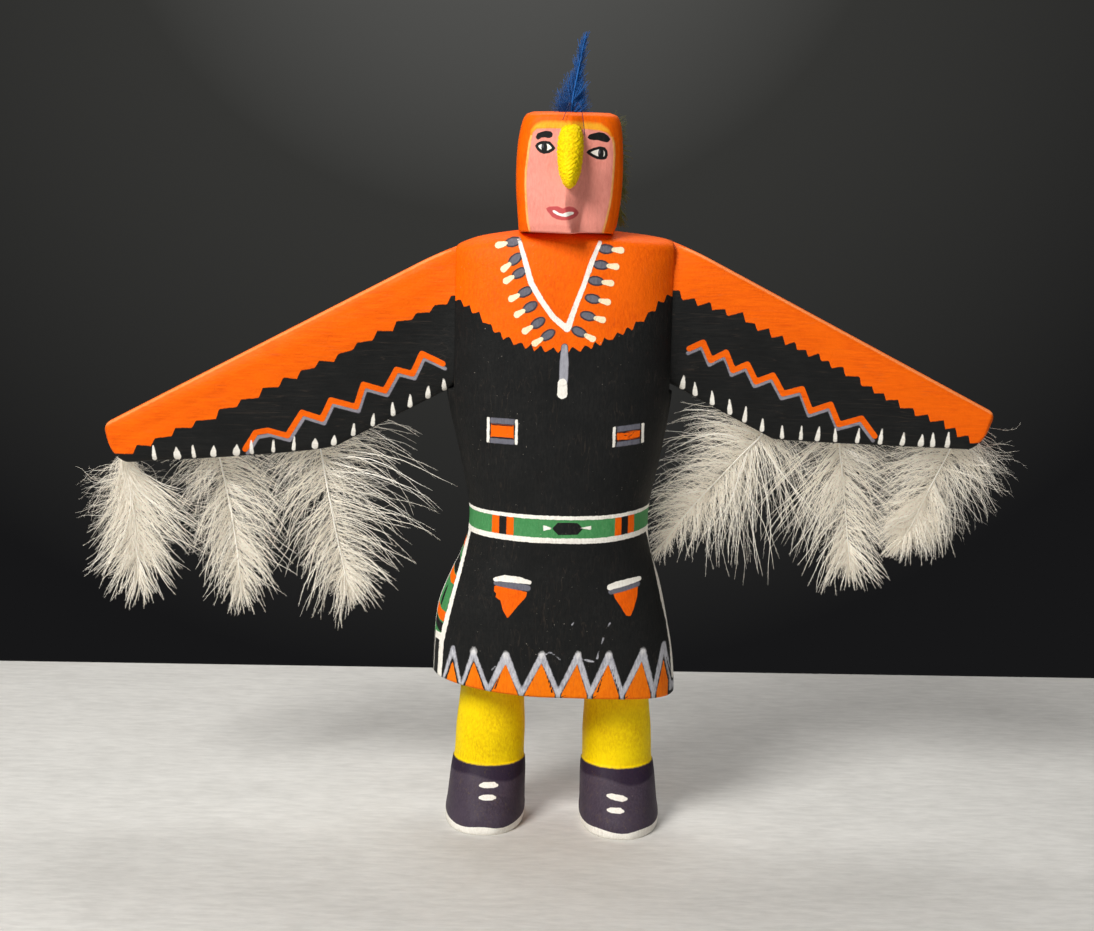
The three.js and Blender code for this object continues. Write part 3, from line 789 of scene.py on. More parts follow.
def sash_marks(x, y, z):
    """Distance behind the border line, measured along the skin, stands in for x."""
    line = np.array(SASH_LINE)[::-1]
    border = through(line[:, 1], line[:, 0], np.clip(z, line[0, 1], line[-1, 1]))
    behind = (border - x) + np.clip(y + 9.0, 0, None) * 0.95
    panel = np.minimum(np.minimum(behind - 0.9, 9.4 - behind), np.minimum(z - 78.4, 120.4 - z))
    bars, gaps = [], []
    slanted = z - behind * 0.35
    for rows, found in ((SASH_BARS, bars), (SASH_DARK, gaps)):
        for top, bottom in rows:
            middle, half = (top + bottom) / 2, (top - bottom) / 2
            found.append(np.minimum(panel, half - np.abs(slanted - middle)))
    lozenges = [dab(behind, z, (4.6, at), (2.4, 9.0)) for at in SASH_LOZENGES]
    white = joined(
        np.minimum(stroke(x, z, SASH_LINE, SASH_LINE_WIDTHS), LINE_STOP - y),
        np.minimum(0.7 - np.abs(behind - 10.0), 119.5 - z),
        np.minimum(0.45 - np.abs(behind - 5.4), 78.6 - z),
        np.minimum(np.minimum(behind, 3.4 - np.abs(behind - 3)), 1.5 - np.abs(z - 78.0)),
    )
    return panel, joined(*bars), joined(*gaps, *lozenges), white


print("sash of", len(SASH_BARS), "bars and", len(SASH_DARK) + len(SASH_LOZENGES), "dark marks")

# %% [markdown]
# All the marks are now sorted by colour, one layer for each coat of paint. The order in which
# the coats lie on each other is given with the tones below.

# %% Coats of the body
PENDANT, PENDANT_WIDTHS = [(0.6, 199.4), (0.6, 193), (0.5, 186)], [2.6, 3.7, 3.6]
PENDANT_TIP, PENDANT_TIP_WIDTHS = [(0.1, 185.2), (0.2, 181)], [3.6, 4.0]
print("pendant from", PENDANT[0][1], "down to", PENDANT_TIP[1][1], "mm")


def body_paint(corners):
    """Every coat of the body, one number a corner. Marks of the front are pushed far below
    zero on the back, and marks that go round use the same place on both sides."""
    x, y, z = corners.T
    front = np.where(y < FRONT_LIMIT, 0.0, OUTSIDE)
    right_hip = np.where(x < 0, 0.0, OUTSIDE)
    grey, bead_rims, tips = bead_marks(x, z)
    green, belt_bars, belt_dark, belt_white = belt_marks(x, z)
    chest_white, chest_grey, chest_orange, chest_dark = chest_marks(x, z)
    kilt_white, kilt_grey, kilt_orange = kilt_marks(x, z)
    pale, hem_orange, hem_dark, hem_tips = hem_marks(x, z)
    sash_green, sash_bars, sash_dark, sash_white = sash_marks(x, y, z)
    pendant = stroke(x, z, PENDANT, PENDANT_WIDTHS)
    pendant_tip = stroke(x, z, PENDANT_TIP, PENDANT_TIP_WIDTHS)
    necklace = joined(
        stroke(x, z, NECKLACE_LEFT, NECKLACE_LEFT_WIDTHS),
        stroke(x, z, NECKLACE_RIGHT, NECKLACE_RIGHT_WIDTHS),
    )
    far_line = np.minimum(stroke(x, z, FAR_LINE, FAR_LINE_WIDTHS), LINE_STOP - y)
    rounds = np.minimum(z - HEM_HEIGHT + 6, 0)
    return {
        "orange": joined(collar_marks(x, z), chest_orange + front, kilt_orange + front),
        "green": joined(green, sash_green + right_hip),
        "trim": joined(belt_bars + front, sash_bars + right_hip),
        "pale": pale + rounds,
        "tips": hem_tips + rounds,
        "hem": hem_orange,
        "bead_tips": tips + front,
        "chalk": joined(*[stroke(x, z, path, width) for path, width in CHALK]) + front,
        "rims": joined(bead_rims, pendant + 0.1) + front,
        "grey": joined(grey, chest_grey, kilt_grey) + front,
        "silver": pendant - 0.15 + front,
        "dark": joined(
            belt_dark + front, chest_dark + front, hem_dark, sash_dark + right_hip,
        ),
        "white": joined(
            necklace + front, pendant_tip + front, chest_white + front,
            kilt_white + front, belt_white, sash_white + right_hip, far_line,
        ),
    }

# %% [markdown]
# ## Paint tones
# The colours were mixed by the maker and are only a few: a strong orange, black, a warm
# white, a bluish grey, green, yellow, pink and a dark violet grey for the moccasins.

# %% Tones
BLACK = (colour(22, 23, 23), colour(34, 34, 33))
ORANGE = (colour(249, 105, 0), colour(226, 84, 0))
HEM_ORANGE = (colour(252, 128, 6), colour(232, 96, 2))
GREEN = (colour(64, 132, 76), colour(84, 150, 94))
PALE = (colour(206, 206, 212), colour(118, 116, 126))
TIP_GREY = (colour(236, 234, 232), colour(190, 188, 192))
GREY = (colour(112, 112, 122), colour(84, 82, 92))
SHADE = (colour(150, 146, 154), colour(112, 108, 118))
RIM = (colour(48, 46, 52), colour(66, 62, 68))
WHITE = (colour(252, 248, 238), colour(226, 218, 206))
BEAD_TIP = (colour(252, 238, 202), colour(247, 229, 182))
# A lighter orange for the painted highlight along the wings' upper edges and tips.
EDGE_HIGHLIGHT = (colour(252, 148, 82), colour(250, 126, 52))
LEG_YELLOW = (colour(254, 222, 2), colour(226, 178, 2))
BEAK_YELLOW = (colour(252, 222, 4), colour(222, 172, 2))
PINK = (colour(240, 154, 138), colour(222, 132, 118))
LIP = (colour(196, 84, 84), colour(182, 74, 76))
VIOLET = (colour(76, 66, 78), colour(56, 47, 60))
# A darker violet grey for the painted shade of the upright ankle part of each moccasin.
VIOLET_SHADE = (colour(48, 37, 54), colour(40, 31, 46))
CREAM = (colour(250, 190, 116), colour(246, 160, 60))

body_finish = painted("body_paint", BLACK, [
    ["orange", ORANGE, 1, 1],
    ["green", GREEN, 1, 1],
    ["trim", ORANGE, 1, 1],
    ["pale", PALE, 2.2, 3],
    ["tips", TIP_GREY, 4, 8],
    ["hem", HEM_ORANGE, 1.6, 1],
    ["chalk", PALE, 1.6, 2],
    ["rims", RIM, 1, 1.6],
    ["silver", (colour(168, 168, 176), colour(120, 118, 128)), 1, 2],
    ["grey", GREY, 1, 2],
    ["dark", BLACK, 1, 1],
    ["white", WHITE, 1.8, 1],
    ["bead_tips", BEAD_TIP, 1.5, 1],
], stretch=(1.0, 1.0, 0.3), wear=0.8, grain=0.12, texture=0.18)
carved("body_and_kilt", body_grid(), ["figure"], body_paint, body_finish)

# %% [markdown]
# ## Head
# The head is a block with rounded corners, sawn and rasped and then set into the shoulders.
# The face is two flat cuts that meet in one ridge below the beak. The cut on the right of
# the picture drops steeply beside the ridge and then falls away more gently to the hood, so
# it is always in shade. The chin's front edge stands a little higher than the jaw behind it.

# %% Head shape
HEAD_HEIGHT, HEAD_WIDTH, HEAD_SHIFT = 47.8, 41.5, 0.95
FACE_FRONT, HEAD_BACK, NOSE_RIDGE = 25.0, 17.0, 5.0
CHIN_RISE, JAW_SHARE = 2.2, 0.12
CHIN_HEIGHT = FIGURE_HEIGHT - HEAD_HEIGHT
HEAD_ROWS = [
    [0, 0.93, 0.86, 0.97, 0.86, 6], [JAW_SHARE, 0.95, 0.93, 1, 0.95, 6], [0.4, 1, 1, 1, 1, 6],
    [0.7, 0.99, 1, 1, 1, 6], [0.9, 0.92, 0.955, 0.985, 0.96, 5.5],
    [0.98, 0.83, 0.88, 0.95, 0.85, 5], [1, 0.7, 0.76, 0.88, 0.75, 4.5],
]
CHIN_EDGE, CHIN_ROUND = 1.0, 0.035
RELIEF, LEFT_PLANE, STEEP_DROP, RIGHT_FALL = 6.2, 18.0, 0.97, 3.4
RIDGE = np.array([
    (0.0, 1.2, 3.2), (0.06, 0.65, 3.6), (0.11, -0.15, 4.6), (0.19, -1.05, 6.2), (0.27, -1.55, 7.6),
    (0.39, -1.25, 8.6), (0.55, -0.3, 8.0), (0.75, 0.0, 6.0), (1.0, 0.0, 4.5),
])


def face_relief(x, share):
    """How far the face stands out: one slope to the left of the ridge, and to the right a
    steep one that covers most of the drop before a gentler one falls away to the hood. A row
    of `RIDGE` is [share of the head's height, place of the ridge, width of the steep cut]."""
    away = x - np.interp(share, RIDGE[:, 0], RIDGE[:, 1])
    wide = np.interp(share, RIDGE[:, 0], RIDGE[:, 2])
    left = 1 + away / LEFT_PLANE
    steep = 1 - away / wide * STEEP_DROP
    flat = (1 - STEEP_DROP) * (1 - (away - wide) / (HEAD_WIDTH / 2 - wide))
    right = np.where(away < wide, steep, flat)
    shape = unit(np.where(away < 0, left, right))
    cheek = unit((away - wide * 0.5) / (HEAD_WIDTH / 2 - wide * 0.5))
    return RELIEF * (1 - share * 0.6) * shape - RIGHT_FALL * cheek


def head_grid(front=170, back=70, rows=150):
    """Rings through the stations, with the face's relief taken off the front, the chin's
    front edge raised, and two smaller rings at each end that close the neck and the crown."""
    half, tall = HEAD_WIDTH / 2, HEAD_HEIGHT
    stations = scaled(HEAD_ROWS, CHIN_HEIGHT, tall, half, FACE_FRONT, HEAD_BACK)
    turns = even_turns(half, (FACE_FRONT + HEAD_BACK) / 2, 6, front, back)
    heights = CHIN_HEIGHT + tall * np.linspace(0, 1, rows)
    points = lofted(stations, turns, heights)
    x, y = points[..., 0].copy(), points[..., 1].copy()
    share = ((heights - CHIN_HEIGHT) / tall)[:, None] * np.ones_like(x)
    on_face = unit((-y - FACE_FRONT * 0.6) / (FACE_FRONT * 0.3))
    points[..., 1] -= on_face * face_relief(x, share)
    at_chin = unit(1 - share / JAW_SHARE) * np.clip(-y / FACE_FRONT, 0, None)
    points[..., 2] += CHIN_RISE * at_chin
    points[..., 1] += tool_marks(points, 0.12, 14.0, 8) * np.sign(y)
    edge = unit(1 - (heights - CHIN_HEIGHT) / CHIN_EDGE)[:, None]
    points[..., :2] *= (1 - CHIN_ROUND * edge**2)[..., None]
    neck = points[0] * np.array([0.8, 0.5, 1.0]) - np.array([0, 0, 5.0])
    roof = points[-1] * np.array([0.5, 0.5, 1.0]) + np.array([0, 0, 0.25])
    throat = points[0] * np.array([0.82, 0.55, 1.0])
    points = np.concatenate([neck[None], throat[None], points, roof[None]])
    points[..., 0] += HEAD_SHIFT
    return points


print("head", HEAD_WIDTH, "mm wide, chin at", round(float(CHIN_HEIGHT), 1), "mm")

# %% [markdown]
# ## Painting the face
# The whole head got the orange of the collar first. A pink panel covers the face, with a
# cream line where it meets the hood and a band of sprayed yellow above the brow. Eyes, brows
# and mouth were drawn freehand with a thin brush, so the two sides of the face don't match.

# %% Face marks
PANEL = [
    (-13.4, 238.0), (-13.6, 244.0), (-14.5, 247.7), (-15.0, 252.2), (-15.3, 256.1), (-15.7, 261.8),
    (-15.6, 267.5), (-15.0, 273.2), (-14.3, 278.2), (-13.5, 281.8), (-12.0, 283.2), (-7.0, 283.5),
    (6.4, 283.5), (12.1, 283.0), (14.9, 282.2), (16.8, 280.3), (17.5, 277.7), (17.8, 273.9),
    (17.7, 270.1), (17.5, 264.4), (17.1, 258.7), (16.4, 254.1), (15.4, 249.1), (14.2, 244.5),
    (13.8, 238.0),
]
BROW_LEFT = [
    (-12.1, 280.1), (-11.5, 281.3), (-10.0, 281.9), (-8.5, 282.3), (-6.8, 282.1), (-6.2, 281.6),
    (-6.3, 280.5), (-7.3, 280.1), (-8.8, 280.4), (-10.3, 280.2), (-11.5, 279.4),
]
BROW_RIGHT = [
    (7.8, 280.4), (8.4, 281.3), (9.9, 281.7), (11.8, 282.2), (13.7, 281.9), (15.3, 280.8),
    (16.0, 279.8), (15.2, 278.9), (13.4, 279.2), (11.5, 279.7), (9.6, 279.7), (8.4, 279.9),
]
EYE_LEFT = [
    (-12.6, 276.7), (-11.8, 277.9), (-10.3, 278.6), (-8.4, 278.8), (-6.9, 278.6), (-5.7, 277.4),
    (-4.6, 276.1), (-5.6, 275.0), (-7.1, 274.2), (-9.1, 273.8), (-10.6, 274.3), (-11.8, 275.4),
]
EYE_RIGHT = [
    (7.1, 274.7), (8.1, 275.7), (10.0, 276.5), (12.3, 277.1), (14.3, 276.7), (15.3, 275.4),
    (15.5, 273.7), (14.8, 272.2), (13.0, 272.0), (11.3, 272.2), (9.4, 273.0), (8.0, 273.9),
]
PUPIL_LEFT, PUPIL_RIGHT = (-9.0, 276.2), (12.8, 274.4)
LIPS = [
    (-7.8, 253.2), (-6.7, 253.9), (-5.2, 254.1), (-3.4, 254.2), (-2.3, 253.8), (-1.3, 253.4),
    (-0.2, 254.0), (1.4, 254.3), (2.9, 253.8), (4.3, 252.6), (4.8, 251.7), (4.2, 250.5), (2.6, 249.5),
    (0.7, 249.0), (-1.6, 248.9), (-3.5, 249.2), (-5.5, 250.1), (-6.6, 251.4), (-7.4, 252.3),
]
TEETH = [
    (-5.7, 252.5), (-4.7, 252.8), (-3.8, 252.4), (-2.6, 251.7), (-1.3, 251.5), (0.1, 252.2),
    (1.8, 252.4), (3.2, 252.0), (3.0, 251.1), (1.8, 250.7), (0.5, 250.1), (-1.6, 250.2),
    (-3.5, 250.7), (-4.9, 251.5),
]
EYE_LINE, GLINT = 1.1, (0.5, 1.3)
print("mouth", round(LIPS[10][0] - LIPS[0][0], 1), "mm wide")

# %% [markdown]
# The outlines become layers. The white of an eye is its outline drawn in by the width of its
# black rim, the pupil is cut off by that rim, and a small grey glint sits high in each pupil.

# %% Face coats

def face_paint(corners):
    """Every coat of the face. The spray is a soft band inside the panel's edge that widens
    under the crown."""
    x, y, z = corners.T
    face = np.where(y < -FACE_FRONT * 0.62, 0.0, OUTSIDE)
    panel = outline(x, z, PANEL)
    eyes = joined(outline(x, z, EYE_LEFT), outline(x, z, EYE_RIGHT))
    brows = joined(outline(x, z, BROW_LEFT), outline(x, z, BROW_RIGHT)) + 0.3
    pupils = joined(dab(x, z, PUPIL_LEFT, (2.3, 4.4)), dab(x, z, PUPIL_RIGHT, (2.2, 4.4)))
    glints = [dab(x, z, (a - 0.5, b + 0.5), GLINT) for a, b in (PUPIL_LEFT, PUPIL_RIGHT)]
    lips = outline(x, z, LIPS)
    crown = unit((z - 280.5) / 2.5)
    crown *= unit((16.5 - np.abs(x - 1.2)) / 5.0)
    spray = 0.1 + 1.3 * crown - np.abs(panel + 0.35 + 0.9 * crown) - np.clip(276 - z, 0, None) * 0.08
    line = 0.36 - np.abs(panel + 0.3)
    return {
        "spray": spray + face,
        "pink": panel + face,
        "line": line + np.where(z < 281, 0, -9) + face,
        "lips": lips + face,
        "black": joined(eyes, brows) + face,
        "white": joined(eyes - EYE_LINE, outline(x, z, TEETH) - 0.15) + face,
        "pupil": np.minimum(pupils, eyes - EYE_LINE * 0.6) + face,
        "glint": joined(*glints) + face,
    }


face_finish = painted("head_paint", ORANGE, [
    ["spray", (colour(252, 178, 44), colour(248, 150, 30)), 2, 0.7 / EDGE_SOFTNESS],
    ["pink", PINK, 0.6, 3],
    ["line", CREAM, 1, 2],
    ["lips", LIP, 0.6, 2],
    ["black", BLACK, 0.6, 1],
    ["white", WHITE, 0.5, 1],
    ["pupil", BLACK, 0.5, 1],
    ["glint", GREY, 0.5, 2],
], stretch=(1.0, 1.0, 0.3), grain=0.12)
carved("head", head_grid(), ["figure"], face_paint, face_finish)

# %% [markdown]
# ## Beak
# The beak is a rounded wedge that starts just under the crown and ends in a free tip over
# the nose ridge. Its yellow paint was dabbed on with the end of a stiff brush, which left
# it covered in small bumps, so they are part of the shape: each is a peak of a product of
# waves, broken up by a second, slower one.

# %% Beak shape
BEAK_LENGTH, BEAK_WIDTH, BEAK_RISE, BEAK_DROP = 25.0, 10.2, 6.5, 3.5
STIPPLE_SIZE, STIPPLE_HEIGHT = 1.35, 0.2
BEAK_ROWS = [
    [0.0, 0.16, 1.0], [0.02, 0.3, 0.72], [0.06, 0.46, 0.42], [0.13, 0.62, 0.22], [0.2, 0.75, 0.12],
    [0.28, 0.85, 0.08], [0.43, 0.945, 0.2], [0.58, 1.0, 0.42], [0.73, 0.985, 0.72],
    [0.89, 0.86, 1.08], [0.95, 0.72, 1.3], [0.985, 0.5, 1.5], [1.0, 0.3, 1.6],
]


def beak_grid(front=100, back=20, rows=130):
    """Rings from the tip up. A row of `BEAK_ROWS` is [share of the length, share of the
    width, how far the front lies behind the most forward point, in shares of the rise]."""
    half, top = BEAK_WIDTH / 2, FIGURE_HEIGHT - BEAK_DROP
    rise, inside = FACE_FRONT + NOSE_RIDGE + BEAK_RISE, -FACE_FRONT * 0.76
    stations = [
        [top - BEAK_LENGTH * (1 - at), half * wide, half * wide, rise - BEAK_RISE * behind, inside, 2.1]
        for at, wide, behind in BEAK_ROWS
    ]
    turns = np.linspace(math.pi / 2, math.pi * 5 / 2, front + back, endpoint=False)
    heights = np.linspace(top - BEAK_LENGTH, top, rows)
    table = np.array(stations)
    sizes = through(table[:, 0], table[:, 1:], heights)[:, None, :]
    x = powered(np.cos(turns), 2.1)[None, :] * sizes[..., 0]
    depth = powered(np.sin(turns), 2.1)[None, :]
    front_y, back_y = -sizes[..., 2], inside * np.ones_like(sizes[..., 2])
    y = (front_y + back_y) / 2 + depth * (back_y - front_y) / 2
    z = heights[:, None] * np.ones_like(x)
    points = np.stack([x + HEAD_SHIFT, y, z], axis=-1)
    wave = 2 * math.pi / STIPPLE_SIZE
    bumps = np.sin(x * wave + 0.8 * np.sin(z * 2.3)) * np.sin(z * wave * 0.9 + 1.1 * np.sin(x * 1.9))
    bumps = bumps * 0.55 + tool_marks(points, 0.55, 1.7, 21)
    away = np.stack([x / half, (y + 28) / 8, np.zeros_like(z)], axis=-1)
    return points + straight(away) * (bumps * STIPPLE_HEIGHT)[..., None]


beak_finish = painted(
    "beak_paint", BEAK_YELLOW, [], gloss=0.6, grain=0.0, stretch=(1.0, 1.0, 1.0), texture=0.2,
)
carved("beak", beak_grid(), ["figure"], lambda corners: {}, beak_finish)

# %% [markdown]
# ## Legs and moccasins
# Each leg was turned roughly round and runs down into a moccasin with a domed toe. One skin
# covers both. The legs lean in a little towards each other. The leg is yellow over its wood
# grain, the moccasin a violet grey with two white stitches and a white sole. A darker band
# round the ankle is painted shade, where the upright ankle part turns away from the light.

# %% Leg shape
FOOT_LENGTH, FOOT_WIDTH, FOOT_GAP, HEEL_BACK, LEFT_FOOT_LEAD = 48.0, 33.0, 23.0, 18.0, 1.5
TOE_HEIGHT, ANKLE_HEIGHT, ANKLE_DIAMETER, KNEE_DIAMETER = 7.0, 25.0, 29.9, 26.5
ANKLE_INWARD, KNEE_INWARD = 1.4, 2.4
CUFF_STEP, INSIDE_KILT = 0.5, 4.0
# The second number is where the painted shade band round the ankle begins.
SOLE_HEIGHT, ANKLE_SHADE_LOW = 3.1, 20.0


SOLE_ROWS = [
    [0, 0.985, 0.985, 0.99, 0.985, 2.3], [0.2, 1, 1, 1, 1, 2.3], [0.6, 1, 1, 0.985, 1, 2.3],
]
INSTEP_ROWS = [
    [0, 0.98, 0.98, 0.945, 0.98, 2.2], [0.35, 0.96, 0.96, 0.8, 0.95, 2.15],
    [0.7, 0.94, 0.94, 0.62, 0.9, 2.1],
]


def leg_grid(side, front=110, back=60, rows=130):
    """Rings through sole, instep, cuff and shin, each leg leaning in towards the other."""
    lead = LEFT_FOOT_LEAD if side > 0 else 0.0
    toe, heel, wide = FOOT_LENGTH - HEEL_BACK + lead, HEEL_BACK - lead, FOOT_WIDTH / 2
    shin, knee, instep = ANKLE_DIAMETER / 2, KNEE_DIAMETER / 2, ANKLE_HEIGHT - TOE_HEIGHT
    cuff_and_ankle_shade = shin - CUFF_STEP
    stations = [
        *scaled(SOLE_ROWS, 0, TOE_HEIGHT, wide, toe, heel),
        *scaled(INSTEP_ROWS, TOE_HEIGHT, instep, wide, toe, heel),
        [ANKLE_HEIGHT - 0.3, shin, shin, shin * 1.02, shin, 2],
        [ANKLE_HEIGHT + 0.3, cuff_and_ankle_shade, cuff_and_ankle_shade, cuff_and_ankle_shade, cuff_and_ankle_shade, 2],
        [ANKLE_HEIGHT * 0.6 + HEM_HEIGHT * 0.4, shin * 0.95, shin * 0.95, shin * 0.93, shin * 0.93, 2],
        [HEM_HEIGHT * 0.9, knee, knee, knee, knee, 2],
        [HEM_HEIGHT + INSIDE_KILT, knee, knee, knee, knee, 2],
    ]
    turns = even_turns(wide, FOOT_LENGTH / 2, 2.3, front, back)
    heights = np.linspace(0, HEM_HEIGHT + INSIDE_KILT, rows)
    points = lofted(stations, turns, heights)
    marks = tool_marks(points, 0.14, 12.0, 31 + side)
    points[..., 1] += marks * np.sign(points[..., 1])
    low = unit(heights / ANKLE_HEIGHT)
    high = unit((heights - ANKLE_HEIGHT) / (HEM_HEIGHT - ANKLE_HEIGHT))
    inward = ANKLE_INWARD * low + (KNEE_INWARD - ANKLE_INWARD) * high
    points[..., 0] += side * (FOOT_GAP + FOOT_WIDTH) / 2 - side * inward[:, None]
    return points


print("feet of", FOOT_LENGTH, "mm,", FOOT_GAP, "mm apart")

# %% [markdown]
# The moccasin's sole line was cut in with a loaded brush and waves a little, and so does the
# lower edge of the painted shade band round the ankle. The stitches are two short dabs across
# the instep, a little higher on one foot than on the other.

# %% Leg paint
STITCH_WIDTHS, INSTEP_FRONT = [0.9, 1.9, 2.0, 0.9], -12
STITCHES = {
    -1: [
        [(-29.6, 17.8), (-28, 18.0), (-24, 18.0), (-22.6, 17.8)],
        [(-29.6, 13.8), (-28, 13.9), (-24.6, 13.9), (-23.2, 13.8)],
    ],
    1: [
        [(22.4, 15.6), (24, 15.5), (28.6, 14.9), (30.3, 14.7)],
        [(22.6, 10.8), (24, 10.9), (27.6, 10.9), (29.0, 10.7)],
    ],
}


def leg_paint_of(side):
    """The paint of one leg, as a function of its corners."""
    def leg_paint(corners):
        x, y, z = corners.T
        front = np.where(y < INSTEP_FRONT, 0.0, OUTSIDE)
        ankle = ANKLE_HEIGHT - 0.9 * np.clip(-y / ANKLE_DIAMETER * 2, -1, 1) * 0.3
        return {
            "leg": z - ankle,
            # Painted shade: a darker band from a wavy line up to the ankle, where the upright ankle part
            # turns from the light.
            "cuff_and_ankle_shade": np.minimum(z - ANKLE_SHADE_LOW + 1.2 * np.sin(x * 0.2 + side), ankle - z),
            "white": joined(
                SOLE_HEIGHT + 0.4 * np.sin(x * 0.35 + side) - z,
                *[stroke(x, z, path, STITCH_WIDTHS) + front for path in STITCHES[side]],
            ),
        }
    return leg_paint


# The first coat is the painted shade band round the ankle.
leg_finish = painted("leg_paint", VIOLET, [
    ["cuff_and_ankle_shade", VIOLET_SHADE, 2, 5],
    ["leg", LEG_YELLOW, 1.5, 3],
    ["white", WHITE, 1, 1],
], stretch=(1.0, 1.0, 0.5), wear=0.3, grain=0.15, grain_tone=colour(150, 128, 20), texture=0.14)
for side, name in ((-1, "leg_right"), (1, "leg_left")):
    carved(name, leg_grid(side), ["figure"], leg_paint_of(side), leg_finish)

# %% [markdown]
# ## Wing boards
# Each wing is a flat board, thick under its upper edge and thin at the lower one, sawn to a
# bird's outline and rounded with a knife. The upper edge falls in a straight line. The lower
# edge falls to an elbow and then runs out to the tip. Both edges are plain functions of the
# distance from the doll's middle, so the feathers can ask for them too.

# %% Wing shape
BOARD_TOP, BOARD_LOW, BOARD_SQUARE = 14.0, 6.0, 5.0
TIP_ROUND, TIP_TURN = 2.4, 9.0
ROOT_DROP, ROOT_BLEND, ROOT_SQUARE = 1.2, 16.0, 2.6
ROOT_FLARE = 19.0
WINGS = {
    "wing_right": dict(
        side=-1, reach=184.2, elbow=0.482 * 184.2,
        root_top=237.2, root_low=180.1, elbow_low=155.5, tip_top=161.5, tip_low=146.2,
    ),
    "wing_left": dict(
        side=1, reach=174.6, elbow=0.49 * 174.6,
        root_top=240.8, root_low=183.2, elbow_low=161.5, tip_top=173.9, tip_low=159.2,
    ),
}


def upper_edge(wing, out):
    """Height of the upper edge: a straight fall, a quarter round at the tip, and a little
    drop that fades away from the shoulder."""
    fall = (wing["root_top"] - wing["tip_top"]) / (wing["reach"] - SEAT_SPREAD / 2)
    turn = unit((out - wing["reach"] + TIP_ROUND) / TIP_ROUND)
    drop = TIP_ROUND * (1 - np.sqrt(1 - turn**2))
    shoulder = ROOT_DROP * unit(1 - (out - SEAT_SPREAD / 2) / ROOT_BLEND) ** 2
    return wing["root_top"] - fall * (out - SEAT_SPREAD / 2) - drop - shoulder


def lower_edge(wing, out):
    """Height of the lower edge: straight to the elbow, then a curve that flattens towards the
    tip and turns up round its corner."""
    to_elbow = (out - SEAT_SPREAD / 2) / (wing["elbow"] - SEAT_SPREAD / 2)
    inner = wing["root_low"] + (wing["elbow_low"] - wing["root_low"]) * to_elbow
    turn_start = wing["reach"] - TIP_TURN
    beyond = unit((out - wing["elbow"]) / (turn_start - wing["elbow"]))
    turn = unit((out - turn_start) / TIP_TURN)
    tip_height = wing["tip_top"] - TIP_ROUND - wing["tip_low"]
    lift = 0.85 * tip_height * (1 - np.sqrt(1 - turn**2))
    outer = wing["elbow_low"] + (wing["tip_low"] - wing["elbow_low"]) * beyond**0.6 + lift
    return np.where(out < wing["elbow"], inner, outer)


def half_thickness(wing, out, height):
    """Half the board's thickness, from thick at the upper edge to thin at the lower one."""
    share = (upper_edge(wing, out) - height) / (wing["root_top"] - wing["root_low"])
    return (BOARD_TOP + (BOARD_LOW - BOARD_TOP) * unit(share)) / 2


for name, wing in WINGS.items():
    print(name, "reaches", wing["reach"], "mm")

# %% [markdown]
# Rings of a squarish section follow the two edges outwards from the glued root, where they
# swell to the shoulder's own depth. At the tip the end is cut on a slant, so that its lower
# corner lies nearer to the body than its upper one. Shallow cuts of the knife run along the
# board under its upper edge.

# %% Wing surface
TIP_SLANT, SLANT_TALL, SLANT_LONG = {-1: 3.0, 1: 5.0}, 15.0, 24.0
TIP_THIN = 2.6
CUT_WIDTH, CUT_DEPTH, CUT_REACH = 8.5, 0.5, 30.0


def shoulder_depths(side, height):
    """How deep the body is, ahead and behind, at the plane where a wing is glued on."""
    table = body_stations()
    sizes = through(table[:, 0], table[:, 1:], height)
    half, squareness = sizes[..., 0 if side < 0 else 1], sizes[..., 4]
    share = (1 - unit(SEAT_SPREAD / 2 / half) ** squareness) ** (1 / squareness)
    return np.maximum(sizes[..., 2] * share, 4.0), np.maximum(sizes[..., 3] * share, 4.0)


def wing_grid(wing, front=112, back=40, rows=250):
    """Rings across the board at growing distances from the body. Around a ring, the sine of
    the turn goes through the board's thickness and the cosine down its height."""
    turns = even_turns(29.0, 5.0, BOARD_SQUARE, front, back)
    share = np.linspace(0, 1, rows)
    root = SEAT_SPREAD / 2 - 0.4
    out = (root + (wing["reach"] - root) * (1 - (1 - share) ** 1.25))[:, None]
    top, low = upper_edge(wing, out), lower_edge(wing, out)
    rounder = unit(1 - (out - root) / (ROOT_BLEND * 1.6))
    squareness = BOARD_SQUARE + (ROOT_SQUARE - BOARD_SQUARE) * rounder
    depth_power = np.where(np.cos(turns) < 0, squareness, BOARD_SQUARE)
    up = -powered(np.cos(turns)[None, :], depth_power)
    height = (top + low) / 2 + up * (top - low) / 2
    end = unit((out - wing["reach"] + TIP_THIN) / TIP_THIN)
    half = half_thickness(wing, out, height) * (1 - 0.5 * end**2.5) * (1 - 0.12 * share[:, None] ** 8)
    flare = unit(1 - (out - root) / ROOT_FLARE) ** 1.7
    through_board = powered(np.sin(turns)[None, :], depth_power)
    ahead, behind = shoulder_depths(wing["side"], height)
    flush = through_board * np.where(np.sin(turns) < 0, ahead, behind) * 0.985
    deep = (through_board * half - WING_FORWARD) * (1 - flare) + flush * flare
    low_share = unit((wing["tip_top"] + 1 - height) / SLANT_TALL)
    near_tip = unit((out - wing["reach"] + SLANT_LONG) / SLANT_LONG)
    slant = TIP_SLANT[wing["side"]] * low_share * near_tip**2
    points = np.stack([wing["side"] * (out - slant), deep, height], axis=-1)
    across = height - top
    cuts = np.abs(np.mod(across / CUT_WIDTH + 0.3 * np.sin(out / 31), 1) - 0.5) - 0.25
    marks = cuts * CUT_DEPTH * unit(1 + across / CUT_REACH)
    marks += tool_marks(points, 0.16, 30.0, 5 + wing["side"])
    points[..., 1] += marks * np.sign(np.sin(turns))[None, :] * (1 - end)
    return points if wing["side"] > 0 else points[:, ::-1]


print("tips cut on a slant of", list(TIP_SLANT.values()), "mm")
